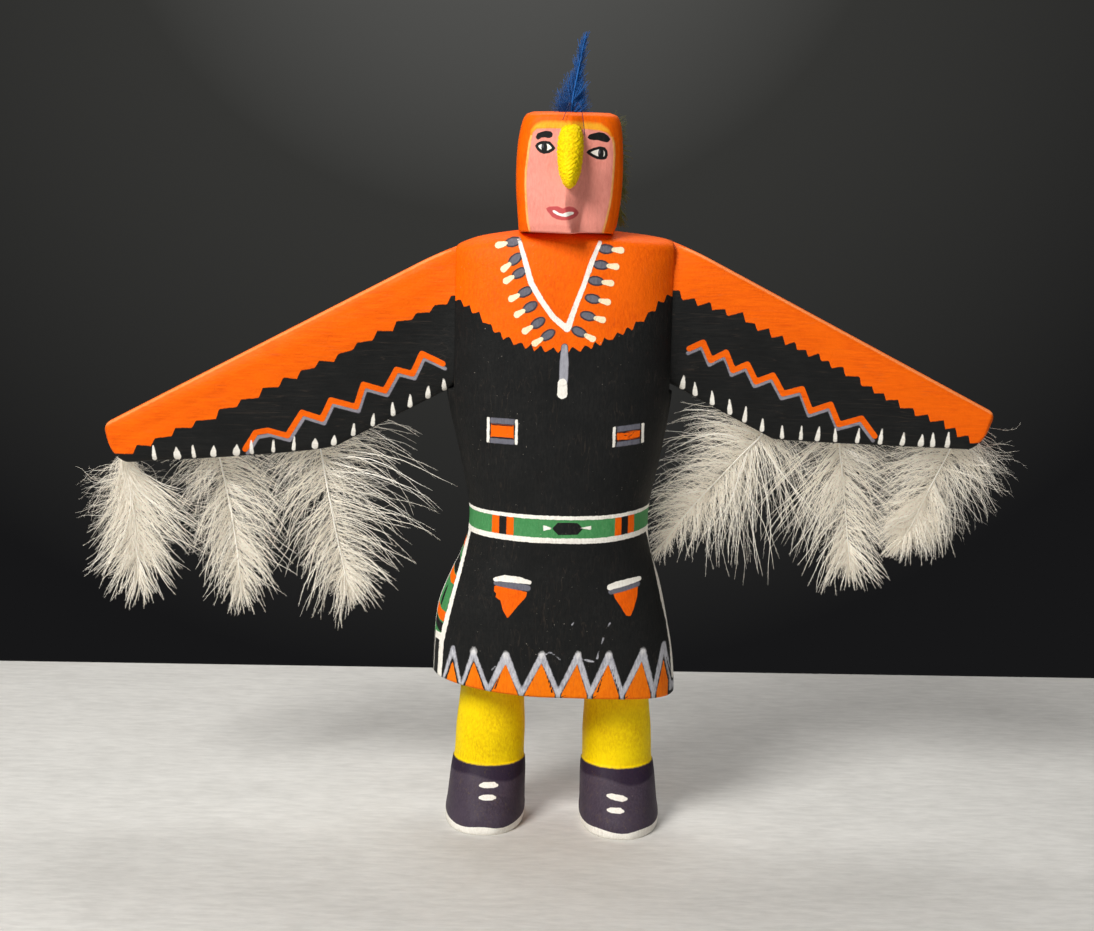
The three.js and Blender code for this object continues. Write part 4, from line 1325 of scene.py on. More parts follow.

# %% [markdown]
# ## Painting the wings
# The upper part of each board is orange down to a row of teeth, and black below. A zigzag
# in orange with a grey shadow line under it runs along the black, and short white strokes
# stand on the lower edge like the roots of flight feathers. The teeth of the two wings
# differ in size, because each was counted out by eye. A lighter orange line along the upper
# edge and round the tip is a painted highlight, where the rounded top of the board catches
# the light.

# %% Wing marks
TOOTH_TIPS = {
    "wing_right": [
        (-171.9, 150.1), (-164.6, 153.5), (-156.1, 157.8), (-148.0, 161.3), (-138.4, 165.1),
        (-129.9, 170.2), (-121.1, 174.1), (-113.1, 178.7), (-105.9, 182.1), (-98.7, 186.7),
        (-91.1, 189.3), (-83.6, 194.3), (-75.6, 198.3), (-67.7, 202.2), (-60.2, 206.8), (-53.0, 210.1),
        (-46.2, 213.6),
    ],
    "wing_left": [
        (46.8, 217.2), (52.9, 214.9), (58.9, 213.5), (64.9, 211.2), (72.1, 209.0), (77.1, 205.5),
        (82.7, 202.9), (88.4, 200.2), (93.3, 198.3), (97.8, 195.6), (103.0, 194.1), (107.2, 191.4),
        (112.9, 188.3), (119.5, 184.4), (124.8, 181.7), (129.7, 179.0), (135.5, 175.9), (141.7, 172.8),
        (147.8, 170.5), (154.0, 167.8), (159.0, 164.7), (164.3, 162.3),
    ],
}
NOTCH = {"wing_right": (1.6, 3.6), "wing_left": (-0.9, 3.5)}
ZIGZAG = {
    "wing_right": [
        (-127.0, 152.8), (-122.6, 159.8), (-117.7, 160.8), (-110, 158.7), (-104, 168.4), (-96, 165.9),
        (-92.4, 173.7), (-82.3, 171.1), (-79.4, 180.3), (-70.8, 177.9), (-66.2, 186.6), (-59.8, 185),
        (-56.1, 193.3), (-47.6, 189.7),
    ],
    "wing_left": [
        (50.4, 197.8), (55.9, 200.4), (59.2, 193.2), (65.2, 196.6), (68.3, 189.3), (73.9, 192),
        (77.6, 185), (84.3, 187.8), (88.6, 180.4), (96.1, 182.6), (99.9, 173.6), (107.8, 176.6),
        (111.6, 168.4), (120.5, 171.2), (126.2, 164),
    ],
}
# The first width is that of the painted highlight along each wing's upper edge and tip.
HIGHLIGHT_LINE, SHADOW_WIDTH, ZIGZAG_WIDTH = 1.0, 1.5, 2.3
SHADOW_STEP = {"wing_right": (0.9, -1.9), "wing_left": (-0.5, -1.9)}
STROKES = {
    "wing_right": dict(
        places=[-163.4, -154.2, -147.6, -139.8, -130.6, -124.4, -115.8, -107.6, -99.0, -91.4, -83.6,
                -75.8, -67.6, -60.8, -53.6, -47.0],
        widths=[1.8, 2.9, 1.7, 2.4, 2.9, 1.6, 1.5, 1.5, 2.6, 2.3, 1.8, 1.7, 1.9, 1.8, 2.1, 1.9],
        tall=4.9,
    ),
    "wing_left": dict(
        places=[48.3, 53.6, 60.6, 67.8, 73.8, 81.0, 89.2, 96.8, 103.4, 110.6, 119.4, 128.6, 137.4,
                144.8, 149.6, 155.4],
        widths=[2.2, 2.0, 1.9, 2.0, 1.8, 1.8, 1.6, 1.5, 2.0, 1.6, 1.7, 1.8, 2.0, 2.4, 2.0, 2.0],
        tall=5.4,
    ),
}


for name, tips in TOOTH_TIPS.items():
    print(name, "has", len(tips), "teeth and", len(STROKES[name]["places"]), "strokes")

# %% [markdown]
# The functions turn those places into layers. The teeth are a broken line from tip to notch,
# the shadow of the zigzag is the same line moved down, and each stroke is a little leaning
# drop whose height and lean are left to chance.

# %% Wing coats
def tooth_edge(name):
    """The lower edge of the orange as a broken line: every tip, with the notch beside it."""
    tips = np.array(TOOTH_TIPS[name])
    random = np.random.default_rng(5)
    notches = tips + np.array(NOTCH[name]) * random.uniform(0.8, 1.15, tips.shape)
    path = np.concatenate([tips, notches])
    return path[np.argsort(path[:, 0])]


def wing_paint_of(name):
    """The paint of one wing, as a function of its corners."""
    wing = WINGS[name]

    def wing_paint(corners):
        x, y, z = corners.T
        front = np.where(y < -WING_FORWARD - 1, 0.0, OUTSIDE)
        teeth = tooth_edge(name)
        edge = np.interp(x, teeth[:, 0], teeth[:, 1])
        random = np.random.default_rng(11 + wing["side"])
        zigzag = np.array(ZIGZAG[name])
        shadow = stroke(x, z, zigzag + SHADOW_STEP[name], SHADOW_WIDTH)
        orange_line = stroke(x, z, zigzag, ZIGZAG_WIDTH)
        # Painted highlight: a lighter line just inside the upper edge and round the tip, where the rounded
        # top of the board catches the light.
        border = np.minimum(upper_edge(wing, np.abs(x)) - z, wing["reach"] - np.abs(x))
        painted_highlight = HIGHLIGHT_LINE / 2 - np.abs(border - HIGHLIGHT_LINE / 2)
        row = STROKES[name]
        quills = []
        for place, width in zip(row["places"], row["widths"]):
            foot = float(lower_edge(wing, np.abs(place))) + 0.9 + width / 2 * 0.5
            tall = row["tall"] * random.uniform(0.85, 1.1) * (0.75 if width > 2.2 else 1.0)
            lean = random.uniform(-0.5, 0.5)
            path = [(0, 0), (lean * 0.4, tall * 0.35), (lean, tall)]
            quills.append(stroke(x - place, z - foot, path, [width, width * 0.9, 0.55]))
        return {
            "orange": (z - edge) * 0.6,
            "painted_highlight": np.where((y < -WING_FORWARD) & (z > edge), painted_highlight, OUTSIDE),
            "grey": np.minimum(shadow, -orange_line) + front,
            "trim": orange_line + front,
            "white": joined(*quills) + front,
        }
    return wing_paint


for name, wing in WINGS.items():
    slope = math.atan2(wing["root_top"] - wing["tip_top"], wing["reach"] - SEAT_SPREAD / 2)
    # The second coat is the painted highlight along the upper edge and the tip.
    finish = painted(f"{name}_paint", BLACK, [
        ["orange", ORANGE, 1, 1],
        ["painted_highlight", EDGE_HIGHLIGHT, 2, 3],
        ["grey", SHADE, 1, 2],
        ["trim", ORANGE, 1, 1],
        ["white", WHITE, 1.5, 1.5],
    ], turn=-wing["side"] * slope, stretch=(0.1, 1.0, 1.0), grain=0.12, texture=0.15)
    carved(f"{name}_board", wing_grid(wing), [name], wing_paint_of(name), finish)

# %% [markdown]
# ## Down feathers
# Down has a thin quill and hundreds of soft barbs, and each barb carries finer barbules that
# make the haze around it. Particles would be quick, but they don't survive an export, so
# every barb is a real three-sided thread and every barbule a sliver with four faces. A barb
# starts at an angle to the quill and bends along its length. The angle and the length change
# slowly from the root to the tip, so a feather is described by a few rows of numbers, and
# chance does the rest with a fixed seed.

# %% Threads and slivers
THIRDS = np.arange(3) * 2 * math.pi / 3
THREAD_FACES, SLIVER_FACES = (0.12, 1.0, 0.05), (0.3, 0.9, 0.2)


def threads(paths, radii):
    """Three-sided closed tubes around many paths at once: `paths` is (threads, steps, 3) and
    `radii` (threads, steps). The ring stands square to the path's direction."""
    count, steps = paths.shape[:2]
    way = straight(np.gradient(paths, axis=1))
    side = straight(np.cross(way, THREAD_FACES))
    other = np.cross(way, side)
    ring = side[:, :, None] * np.cos(THIRDS)[:, None] + other[:, :, None] * np.sin(THIRDS)[:, None]
    corners = paths[:, :, None] + ring * radii[:, :, None, None]
    number = np.arange(count * steps * 3).reshape(count, steps, 3)
    ahead = np.roll(number, -1, axis=2)
    quads = np.stack([number[:, :-1], ahead[:, :-1], ahead[:, 1:], number[:, 1:]], axis=-1)
    ends = np.concatenate([number[:, 0, ::-1], number[:, -1]])
    return corners.reshape(-1, 3), quads.reshape(-1, 4), ends


def slivers(feet, tips, radius):
    """Long thin pyramids: three corners around each foot and one at the tip."""
    way = straight(tips - feet)
    side = straight(np.cross(way, SLIVER_FACES))
    other = np.cross(way, side)
    turn = THIRDS[None, :, None]
    base = feet[:, None] + (side[:, None] * np.cos(turn) + other[:, None] * np.sin(turn)) * radius
    corners = np.concatenate([base, tips[:, None]], axis=1)
    number = np.arange(len(feet) * 4).reshape(-1, 4)
    sides = [number[:, row] for row in ([2, 1, 0], [0, 1, 3], [1, 2, 3], [2, 0, 3])]
    return corners.reshape(-1, 3), np.concatenate(sides)


print("a sliver has", len(slivers(np.zeros((1, 3)), np.ones((1, 3)), 0.1)[1]), "faces")

# %% [markdown]
# A barb's path is the sum of many short steps. Each step turns a little further towards the
# quill's tip, sinks a little under its own weight, and wanders a little in and out of the
# feather's plane. Neighbouring barbs hook together into tufts, so each one also borrows part
# of its direction from the tuft that it belongs to.

# %% Quills and boards
BOARD_BACK, BOARD_AHEAD, BOARD_RISE = 4.5, -6.0, 5.0
HEAD_ZONE, FLOOR_ZONE, PAST_TIP = 245, 100, 2


def quill_at(spine, share):
    """Place and direction on the quill at shares of its length."""
    spine = np.asarray(spine, float)
    knots = np.linspace(0, 1, len(spine))
    place = through(knots, spine, share)
    way = through(knots, spine, unit(share + 0.01)) - through(knots, spine, unit(share - 0.01))
    return place, straight(way, 0)


def behind_board(paths):
    """The same paths, moved back where they would come through the front of a wing: the
    least depth rises from far in front to just behind the board over the lowest 5 mm."""
    x, z = paths[..., 0], paths[..., 2]
    for wing in WINGS.values():
        out = x * wing["side"]
        edge = lower_edge(wing, np.clip(out, 0, wing["reach"]))
        above = unit((z - edge + BOARD_RISE) / BOARD_RISE)
        least = above * (BOARD_BACK - BOARD_AHEAD) + BOARD_AHEAD
        inside = (out > 0) & (out < wing["reach"] + PAST_TIP) & (z < HEAD_ZONE) & (z > FLOOR_ZONE)
        paths[..., 1] = np.where(inside, np.maximum(paths[..., 1], least), paths[..., 1])
    return paths


print("barbs stay", BOARD_BACK, "mm behind the middle of a board")

# %% [markdown]
# The barbs of one side are all made at once. Chance draws a place on the quill for each, and
# with it a length, an angle, a curl and a tuft; the sines of the bend and of the lift then
# give the direction of every step.

# %% Barbs along a quill
BARB_LENGTHS, TUFT_MIX = (0.6, 1.1), 0.4
WAVE_COUNTS, FULL_TURN = (4.0, 9.0), 6.3


def barbs(spine, side, rows, kind, random):
    """Paths of the barbs of one side, -1 for the left of the picture. `rows` are [share,
    length, angle, curl] from root to tip, with the angle away from the quill's tip and the
    curl back towards it."""
    table, count, steps = np.asarray(rows, float), kind["count"], kind["steps"]
    share = np.sort(random.uniform(table[0, 0], table[-1, 0], count))
    length, angle, curl = (np.interp(share, table[:, 0], table[:, k]) for k in (1, 2, 3))
    tufts = kind["tufts"]
    tuft = np.floor(share * tufts + random.uniform(-TUFT_MIX, TUFT_MIX, count)).astype(int) % (tufts * 2)
    tuft_turn = random.normal(0, kind["tuft_turn"], tufts * 2)[tuft]
    tuft_out = random.normal(0, kind["puff"], tufts * 2)[tuft]
    length = length * random.uniform(*BARB_LENGTHS, count)
    angle = np.radians(angle + tuft_turn + random.normal(0, kind["scatter"], count))
    curl = np.radians(curl + random.normal(0, kind["scatter"] * 1.3, count))
    out = np.radians(tuft_out + random.normal(0, kind["puff"] * 0.6, count))
    root, along = quill_at(spine, share)
    flat = np.stack([-along[:, 2], np.zeros(count), along[:, 0]], axis=-1) * side
    step = (np.arange(steps - 1) + 0.5) / (steps - 1)
    bend = angle[:, None] - curl[:, None] * step**1.2
    waves = random.uniform(*WAVE_COUNTS, (count, 1))
    bend += np.radians(kind["wave"]) * np.sin(step * waves + random.uniform(0, FULL_TURN, (count, 1)))
    lift = out[:, None] * (1 - 1.2 * step)
    start = random.uniform(0, FULL_TURN, (count, 1))
    lift += np.radians(kind["wave"] * 0.8) * np.sin(step * waves + start)
    way = along[:, None] * np.cos(bend)[..., None] + flat[:, None] * np.sin(bend)[..., None]
    way = way * np.cos(lift)[..., None] + np.array([0, 1.0, 0]) * np.sin(lift)[..., None]
    way[..., 2] -= kind["sag"] * step**1.5
    run = np.cumsum(straight(way, 0) * (length / (steps - 1))[:, None, None], axis=1)
    return behind_board(np.concatenate([root[:, None], root[:, None] + run], axis=1))


print("barbs vary from", BARB_LENGTHS[0], "to", BARB_LENGTHS[1], "times their row's length")

# %% [markdown]
# Barbules are what makes down look soft. They sit at chance places on the barbs, point
# forward and outward, and get shorter towards the barb's end.

# %% Barbules
BARBULE_LENGTHS, BARBULE_FORWARD, BARBULE_OUT = (0.5, 1.1), 0.8, 0.6


def haze(paths, kind, random):
    """Feet and tips of the barbules: points along the barbs and short steps away from them,
    longest near the quill."""
    count, steps = paths.shape[:2]
    each = kind["each"]
    share = random.uniform(0.03, 0.98, (count, each))
    at = share * (steps - 1)
    low = np.minimum(at.astype(int), steps - 2)
    row = np.arange(count)[:, None]
    start, end = paths[row, low], paths[row, low + 1]
    feet = start + (end - start) * (at - low)[..., None]
    way = straight(end - start)
    off = random.normal(size=(count, each, 3)) * np.array([1.0, 0.8, 1.0])
    off = straight(off - (off * way).sum(axis=-1, keepdims=True) * way)
    size = kind["reach"] * random.uniform(*BARBULE_LENGTHS, (count, each, 1))
    size = size * (1.1 - 0.4 * share[..., None])
    tips = feet + (way * BARBULE_FORWARD + off * BARBULE_OUT) * size
    return feet.reshape(-1, 3), tips.reshape(-1, 3)


print("barbules lean", BARBULE_FORWARD, "along the barb and", BARBULE_OUT, "away from it")

# %% [markdown]
# A whole feather is its quill and several sets of barbs. The comb is made of the long barbs,
# which stand apart so that each one shows as a soft strand. The fluff is made of short thin
# barbs that curl in all directions, and it hides the roots of the comb.

# %% A whole feather
GIRTHS, GIRTH_ODDS = [0.75, 1.0, 1.4], [0.4, 0.4, 0.2]
STEM_STEPS, STEM_TAPER, BARB_TAPER = 40, 0.75, 0.7


def feather(name, node, spine, sets, quill, material, seed):
    """One mesh for a quill and its sets of barbs, with a tone for every corner. A set is
    [side, rows, kind]."""
    random = np.random.default_rng(seed)
    steps = np.linspace(0, 1, STEM_STEPS)
    stem = quill_at(spine, steps)[0]
    stem[:, 1] -= QUILL_FORWARD * unit(steps * 8)
    tube = threads(stem[None], (quill * (1 - STEM_TAPER * steps))[None])
    parts = [(*tube, np.full(STEM_STEPS * 3, 1.0))]
    for side, rows, kind in sets:
        paths = barbs(spine, side, rows, kind, random)
        taper = 1 - np.linspace(0, 1, kind["steps"]) ** 2 * BARB_TAPER
        girth = kind["thread"] * random.choice(GIRTHS, len(paths), p=GIRTH_ODDS)
        tone = np.repeat(random.uniform(kind["tone"], 1.0, len(paths)), kind["steps"] * 3)
        parts.append((*threads(paths, girth[:, None] * taper), tone))
        feet, tips = haze(paths, kind, random)
        fuzz_corners, fuzz_faces = slivers(feet, tips, kind["fuzz"])
        tone = np.repeat(random.uniform(kind["tone"] - 0.2, 0.9, len(feet)), 4)
        parts.append((fuzz_corners, np.zeros((0, 4), int), fuzz_faces, tone))
    starts = np.cumsum([0] + [len(part[0]) for part in parts[:-1]])
    piece = new_piece(
        name, np.concatenate([part[0] for part in parts]),
        np.concatenate([part[1] + start for part, start in zip(parts, starts)]),
        np.concatenate([part[2] + start for part, start in zip(parts, starts)]),
        [node], {"tone": np.concatenate([part[3] for part in parts])},
    )
    piece.data.materials.append(material)
    return piece


print("barbs come in", len(GIRTHS), "girths")

# %% [markdown]
# ## Plume finish
# Down has no gloss, only a soft bright edge where the light comes through it. So the surface
# is rough with a little sheen, and it gives off a little of its own tone, in place of the
# light that shines through real down. Each thread lies between a warm white and a greyer one.

# %% Plume material
LIGHT_THROUGH = 0.12


def plume_finish(name, thin, full, sheen=0.35):
    """Feather from the tone `thin` to the tone `full`, by the tone layer of each thread."""
    material, tree, surface = shader(name)
    shown = blend(tree, layer(tree, "tone"), thin, full)
    wire(tree, surface, {
        "Base Color": shown, "Emission Color": shown, "Emission Strength": LIGHT_THROUGH,
        "Roughness": 0.9, "Specular IOR Level": 0.15, "Sheen Weight": sheen, "Sheen Roughness": 0.6,
    })
    return material


down_finish = plume_finish("white_down", colour(236, 224, 204), colour(255, 250, 238))
print("down gives off", LIGHT_THROUGH, "of its tone")

# %% [markdown]
# ## The six feathers of the wings
# Each is glued behind the lower edge of a board and was bent by handling, so all six hang
# differently. The outermost one of the doll's right wing is a bunch that is narrow at the
# top, the next two are open herringbones, and those of the left wing sweep to the body.

# %% Kinds of barbs
COMB = dict(
    count=125, steps=8, tufts=24, tuft_turn=5.0, puff=14.0, scatter=7.0, wave=10.0, sag=0.3,
    thread=0.16, each=56, reach=1.6, fuzz=0.05, tone=0.45,
)
FLUFF = dict(
    count=330, steps=10, tufts=9, tuft_turn=14.0, puff=24.0, scatter=18.0, wave=26.0, sag=0.25,
    thread=0.07, each=14, reach=2.2, fuzz=0.042, tone=0.3,
)
FLUFF_ROWS = [
    (0.02, 22, 82, 20), (0.15, 32, 72, 14), (0.4, 30, 56, 10), (0.75, 18, 42, 0), (0.95, 9, 30, 0),
]
QUILL, QUILL_FORWARD = 0.55, 1.0
print("a feather has", COMB["count"], "long and", FLUFF["count"], "short barbs on each side")

# %% [markdown]
# Below, `spine` is the quill from its glued end to its tip. The rows of `left` and `right` say
# for a share of the quill how long the barbs are, how far they stand off and how they curl
# back. A feather without its own comb or fluff rows takes the usual ones.

# %% Wing feathers
DOWN_FEATHERS = [
    dict(
        name="right_outer", fluff=1.0,
        spine=[(-180, 2.6, 153), (-178.4, 5.5, 144), (-175.4, 6.5, 128), (-174, 7, 109),
               (-173.4, 7, 96)],
        left=[(0.04, 18, 4, 0), (0.15, 34, 5, -32), (0.35, 36, 20, -36), (0.6, 31, 38, -14),
              (1.0, 14, 18, 0)],
        right=[(0.04, 22, 18, 4), (0.15, 42, 16, -24), (0.35, 42, 28, -22), (0.6, 34, 38, -6),
               (1.0, 12, 14, 0)],
        comb=dict(COMB, tufts=12, tuft_turn=8.0, thread=0.18, count=135),
        fluff_rows=[(0.1, 20, 4, -20), (0.3, 26, 24, -30), (0.5, 24, 50, 0), (0.85, 14, 40, 0)],
    ),
    dict(
        name="right_middle", fluff=0.9,
        spine=[(-141.5, 2.8, 156), (-139.2, 7, 145.4), (-135.4, 9.5, 124.7), (-133, 10, 107.9),
               (-131.2, 10, 90)],
        left=[(0.05, 26, 104, 20), (0.2, 28, 88, 30), (0.4, 31, 56, 30), (0.65, 28, 46, 24),
              (0.85, 20, 34, 12), (1.0, 10, 14, 4)],
        right=[(0.05, 24, 96, 30), (0.2, 28, 80, 34), (0.4, 33, 60, 28), (0.65, 31, 50, 24),
               (0.85, 22, 36, 10), (1.0, 10, 14, 4)],
    ),
    dict(
        name="right_inner", fluff=1.0,
        spine=[(-99.5, 2.0, 161), (-97.6, 5, 150.3), (-93.8, 7, 127.8), (-89.1, 7.5, 104.7),
               (-86, 7.5, 93)],
        left=[(0.05, 26, 98, 36), (0.2, 36, 76, 40), (0.45, 38, 56, 26), (0.7, 31, 44, 18),
              (0.88, 20, 30, 8), (1.0, 10, 14, 4)],
        right=[(0.04, 28, 112, 40), (0.12, 44, 98, 46), (0.25, 54, 84, 34), (0.42, 52, 66, 6),
               (0.6, 36, 56, 6), (0.8, 22, 44, 10), (1.0, 9, 14, 4)],
        comb=dict(COMB, count=128, scatter=8.0),
    ),
    dict(
        name="left_inner", fluff=1.15,
        spine=[(84, 1.8, 170), (81.6, 5, 161.5), (73.8, 6.5, 152.6), (62, 7, 139),
               (53.3, 7, 128.7), (42, 6.5, 113)],
        left=[(0.04, 38, 104, 26), (0.15, 40, 78, 24), (0.35, 36, 68, 40), (0.6, 27, 70, 52),
              (0.8, 20, 66, 52), (0.93, 14, 46, 34), (1.0, 9, 14, 4)],
        right=[(0.02, 46, 74, 30), (0.1, 58, 58, 10), (0.3, 56, 46, 4), (0.5, 42, 44, 2),
               (0.7, 27, 42, 4), (0.88, 15, 34, 8), (1.0, 8, 14, 4)],
        comb=dict(COMB, count=140, sag=0.25, scatter=8.0),
    ),
    dict(
        name="left_middle", fluff=0.8,
        spine=[(113, 2.8, 167), (114.1, 7, 156.9), (116.6, 9.5, 143), (119.4, 10, 121),
               (121.6, 10, 106)],
        left=[(0.03, 34, 88, 30), (0.1, 52, 62, 22), (0.25, 54, 44, 14), (0.45, 40, 38, 12),
              (0.7, 30, 40, 10), (0.88, 20, 34, 8), (1.0, 10, 20, 4)],
        right=[(0.04, 24, 92, 30), (0.15, 36, 72, 26), (0.35, 34, 54, 18), (0.6, 31, 48, 12),
               (0.8, 24, 40, 8), (0.93, 16, 30, 6), (1.0, 10, 18, 4)],
    ),
    dict(
        name="left_outer", fluff=1.25,
        spine=[(162, 1.6, 168), (158.6, 5, 156.7), (151.5, 7, 139.8), (145.4, 7.5, 125),
               (140, 7.5, 116)],
        left=[(0.04, 26, 84, 20), (0.15, 38, 66, 20), (0.35, 34, 50, 20), (0.6, 24, 34, 10),
              (0.85, 13, 26, 8), (1.0, 7, 14, 4)],
        right=[(0.04, 18, 98, 26), (0.12, 25, 92, 34), (0.25, 33, 76, 34), (0.4, 32, 58, 28),
               (0.6, 24, 46, 20), (0.8, 14, 40, 14), (1.0, 6, 14, 4)],
        comb=dict(COMB, tufts=14, tuft_turn=9.0, puff=18.0, thread=0.17, count=120),
        fluff_rows=[(0.1, 26, 76, 10), (0.25, 34, 74, 16), (0.4, 30, 62, 14), (0.85, 12, 45, 0)],
    ),
]
for order, row in enumerate(DOWN_FEATHERS):
    comb, fluff_rows = row.get("comb", COMB), row.get("fluff_rows", FLUFF_ROWS)
    fluff = dict(FLUFF, count=int(FLUFF["count"] * row["fluff"]))
    feather(
        f"down_{row['name']}", f"feather_{row['name']}", row["spine"],
        [[-1, row["left"], comb], [1, row["right"], comb], [-1, fluff_rows, fluff], [1, fluff_rows, fluff]],
        QUILL, down_finish, 100 + order,
    )

# %% [markdown]
# ## Crest and nape feathers
# The crest stands in a hole drilled in the crown: a narrow blue blade with fluff at its foot
# and two loose barbs that fall over the forehead. The nape feather is dyed a yellow green and
# lies flat against the back of the head. Both are made as the down is, with shorter barbs.

# %% Crest
CREST_AHEAD = 6.0
BLADE = dict(COMB, count=210, puff=16.0, sag=0.0, wave=6.0, thread=0.17, each=16, reach=1.3)
crest_finish = plume_finish("blue_down", colour(4, 28, 74), colour(20, 92, 162), 0.1)
crest_rows = [(0.06, 9, 66, 36), (0.25, 10, 34, 22), (0.5, 8, 20, 14), (0.8, 6, 12, 6), (0.97, 4, 6, 2)]
crest_fluff = [(0.02, 9, 80, 10), (0.15, 10, 66, 10), (0.4, 8, 50, 0)]
CREST_SPINE = [(x, -CREST_AHEAD, z) for x, z in ((0.95, 286), (1.4, 293), (3.2, 304), (6.0, 319))]
STRAY_RADIUS, STRAY_STEPS = 0.15, 24
feather(
    "crest_plume", "crest_feather", CREST_SPINE,
    [[-1, crest_rows, BLADE], [1, crest_rows, BLADE],
     [-1, crest_fluff, dict(FLUFF, count=110)], [1, crest_fluff, dict(FLUFF, count=110)]],
    0.6, crest_finish, 120,
)
STRAYS = [
    [(0.9, -CREST_AHEAD, 288), (0.4, -15, 293), (-0.2, -22, 292.2), (-0.9, -26.6, 290.4),
     (-2.2, -28.6, 286.8)],
    [(1.6, -CREST_AHEAD, 288), (3.2, -15, 293), (4.2, -22, 292.4), (5.0, -27.2, 290.2),
     (6.4, -28.4, 281.2)],
]
strays = np.stack([quill_at(path, np.linspace(0, 1, STRAY_STEPS))[0] for path in STRAYS])
stray_corners, stray_quads, stray_ends = threads(strays, np.full(strays.shape[:2], STRAY_RADIUS))
stray_piece = new_piece(
    "crest_strays", stray_corners, stray_quads, stray_ends, ["crest_feather"],
    {"tone": np.zeros(len(stray_corners))},
)
stray_piece.data.materials.append(crest_finish)

# %% [markdown]
# The nape feather lies flat and narrow behind the head, so only its edge shows from the front.
# Its barbs spread less in depth than those of the crest.

# %% Nape
nape_finish = plume_finish("green_down", colour(56, 64, 20), colour(112, 110, 50), 0.1)
nape_rows = [(0.06, 8, 60, 30), (0.4, 10, 44, 24), (0.8, 7, 30, 14), (1.0, 5, 12, 4)]
nape_fluff = [(0.02, 9, 80, 0), (0.4, 8, 60, 0), (0.8, 6, 40, 0)]
NAPE_BLADE = dict(BLADE, count=150, puff=8.0, thread=0.12, scatter=12.0, each=20)
feather(
    "nape_plume", "nape_feather",
    [(15, 17.7, 287.5), (17, 19, 278), (20, 19.5, 264), (22.5, 19.5, 247)],
    [[-1, nape_rows, NAPE_BLADE], [1, nape_rows, NAPE_BLADE],
     [1, nape_fluff, dict(FLUFF, count=150, puff=8.0)]],
    0.45, nape_finish, 121,
)

# %% [markdown]
# ## Table
# The doll stands on a pale table top that ends some way behind it. Its surface is mottled by
# short fibres that run along it and by slow blotches, and its back edge isn't quite square to
# the view. It is a stage for the picture and no part of the doll.

# %% Table
TABLE_BACK, TABLE_FRONT, TABLE_HALF, TABLE_THICK = 222.0, -700.0, 900.0, 25.0
TABLE_SKEW, TABLE_ROUND = 0.024, 9.0


def table_finish():
    """Pale board with fibres and blotches, both stretched along x."""
    material, tree, surface = shader("table_top")
    place = put(tree, "ShaderNodeTexCoord").outputs["Object"]
    fibres = cloud(tree, stretched(tree, place, 0.0, (0.3, 1.0, 1.0)), 300.0, 5.0, 0.65)
    blotches = cloud(tree, stretched(tree, place, 0.0, (0.5, 1.0, 1.0)), 40.0, 3.0)
    both = plus(tree, times(tree, fibres, 0.7), times(tree, blotches, 0.3))
    shown = blend(tree, between(tree, both, 0.38, 0.62), colour(199, 197, 192), colour(215, 213, 208))
    bump = bumped(tree, fibres, 0.4 * MM, 0.3)
    wire(tree, surface, {"Base Color": shown, "Roughness": 0.62, "Normal": bump})
    return material


def table_top():
    """A box of eight corners with its long edges rounded by a bevel."""
    low = np.array([-TABLE_HALF, TABLE_FRONT, -TABLE_THICK])
    size = np.array([TABLE_HALF * 2, TABLE_BACK - TABLE_FRONT, TABLE_THICK])
    signs = np.array([[a, b, c] for c in (0, 1) for b in (0, 1) for a in (0, 1)], float)
    corners = low + signs * size
    corners[:, 1] += np.where(signs[:, 1] > 0, corners[:, 0] * TABLE_SKEW, 0.0)
    mesh = bpy.data.meshes.new("table_top")
    faces = [(0, 2, 3, 1), (4, 5, 7, 6), (0, 1, 5, 4), (2, 6, 7, 3), (0, 4, 6, 2), (1, 3, 7, 5)]
    mesh.from_pydata(((corners + MIDDLE) * MM).tolist(), [], faces)
    mesh.materials.append(table_finish())
    top = bpy.data.objects.new("table_top", mesh)
    bpy.context.scene.collection.objects.link(top)
    rounding = top.modifiers.new("rounding", "BEVEL")
    rounding.width, rounding.segments = TABLE_ROUND * MM, 8
    return top


print("table", [round(float(side), 2) for side in table_top().dimensions], "m")

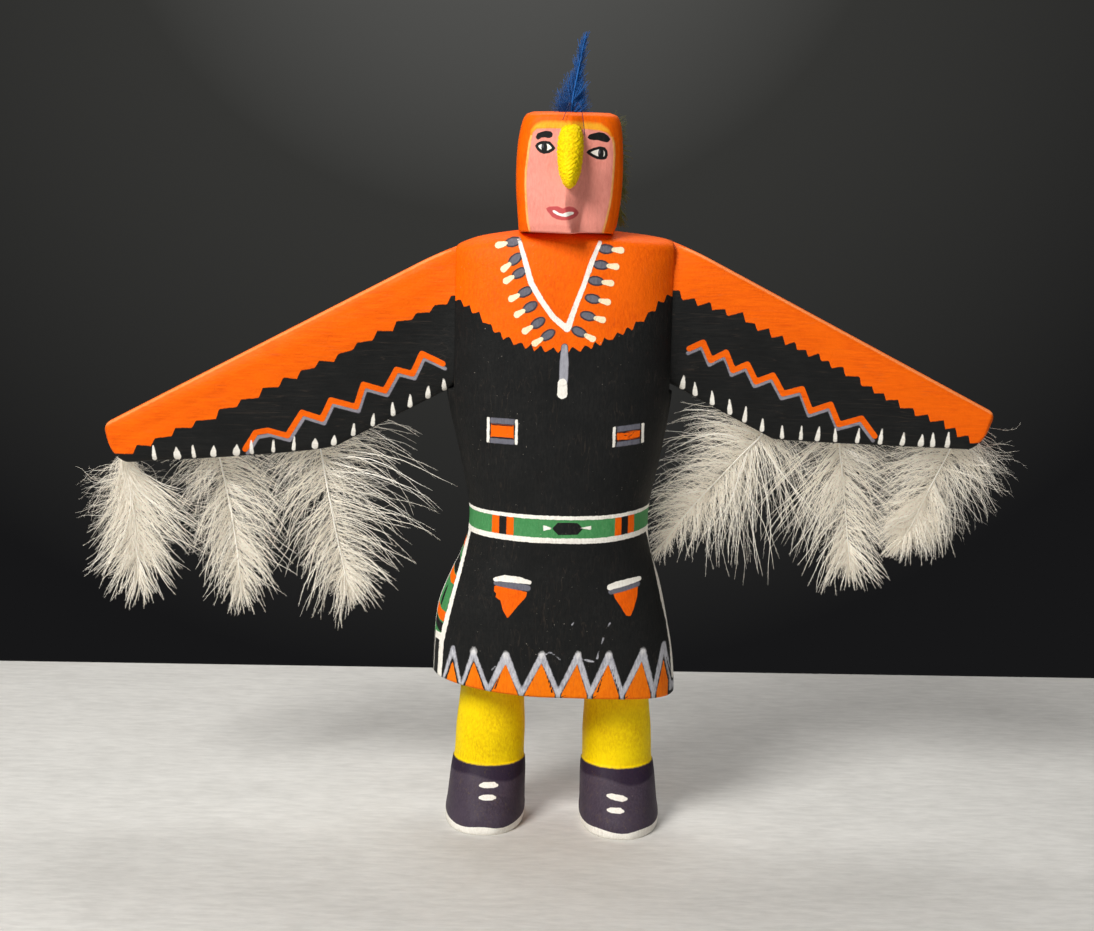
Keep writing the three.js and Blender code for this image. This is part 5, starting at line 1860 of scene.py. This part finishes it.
# %% [markdown]
# ## Light
# One large lamp to the upper left of the camera makes the soft shadows to the right of the
# legs and under the chin. A weak one on the right opens those shadows, and a narrow light
# from behind picks out the down.

# %% Lamps
def lamp(name, at, towards, size, watts, tint):
    """A soft rectangular lamp aimed at a point; both places in the doll's millimetres."""
    light = bpy.data.lights.new(name, "AREA")
    light.shape, light.size, light.size_y = "RECTANGLE", size[0] * MM, size[1] * MM
    light.energy, light.color = watts, tint
    holder = bpy.data.objects.new(name, light)
    bpy.context.scene.collection.objects.link(holder)
    holder.location = Vector((np.array(at) + MIDDLE) * MM)
    way = Vector(np.array(towards, float) - np.array(at, float))
    holder.rotation_euler = way.to_track_quat("-Z", "Y").to_euler()
    print(name, watts, "W")


lamp("key_lamp", (-580, -720, 930), (0, 0, 150), (460, 460), 17.2, (1.0, 0.99, 0.97))
lamp("fill_lamp", (520, -950, 420), (0, 0, 130), (800, 800), 1.9, (0.98, 0.98, 1.0))
lamp("back_lamp", (60, 420, 900), (0, 0, 150), (700, 300), 4.5, (1.0, 0.99, 0.98))

# %% [markdown]
# Behind the table lies a dark room. Its brightness is a gradient by direction alone, lightest
# just above the doll's head, so nothing has to stand there.

# %% Darkness
LIGHTEST = (-0.03, 1.0, 0.13)


def darkness():
    """Brightness falls with the angle from the lightest direction, above the crown."""
    world = bpy.data.worlds.new("darkness")
    world.use_nodes = True
    tree = world.node_tree
    way = put(tree, "ShaderNodeTexCoord").outputs["Generated"]
    wanted = {0: way, 1: Vector(LIGHTEST).normalized()}
    towards = put(tree, "ShaderNodeVectorMath", wanted, operation="DOT_PRODUCT").outputs["Value"]
    wide = blend(tree, between(tree, towards, 0.915, 0.985), colour(23, 23, 24), colour(54, 54, 52))
    shown = blend(tree, between(tree, towards, 0.982, 0.9995), wide, colour(84, 84, 82))
    tree.links.new(shown, tree.nodes["Background"].inputs["Color"])
    bpy.context.scene.world = world


darkness()
bpy.context.scene.view_settings.view_transform = "Standard"
print("dark room, lightest towards", LIGHTEST)
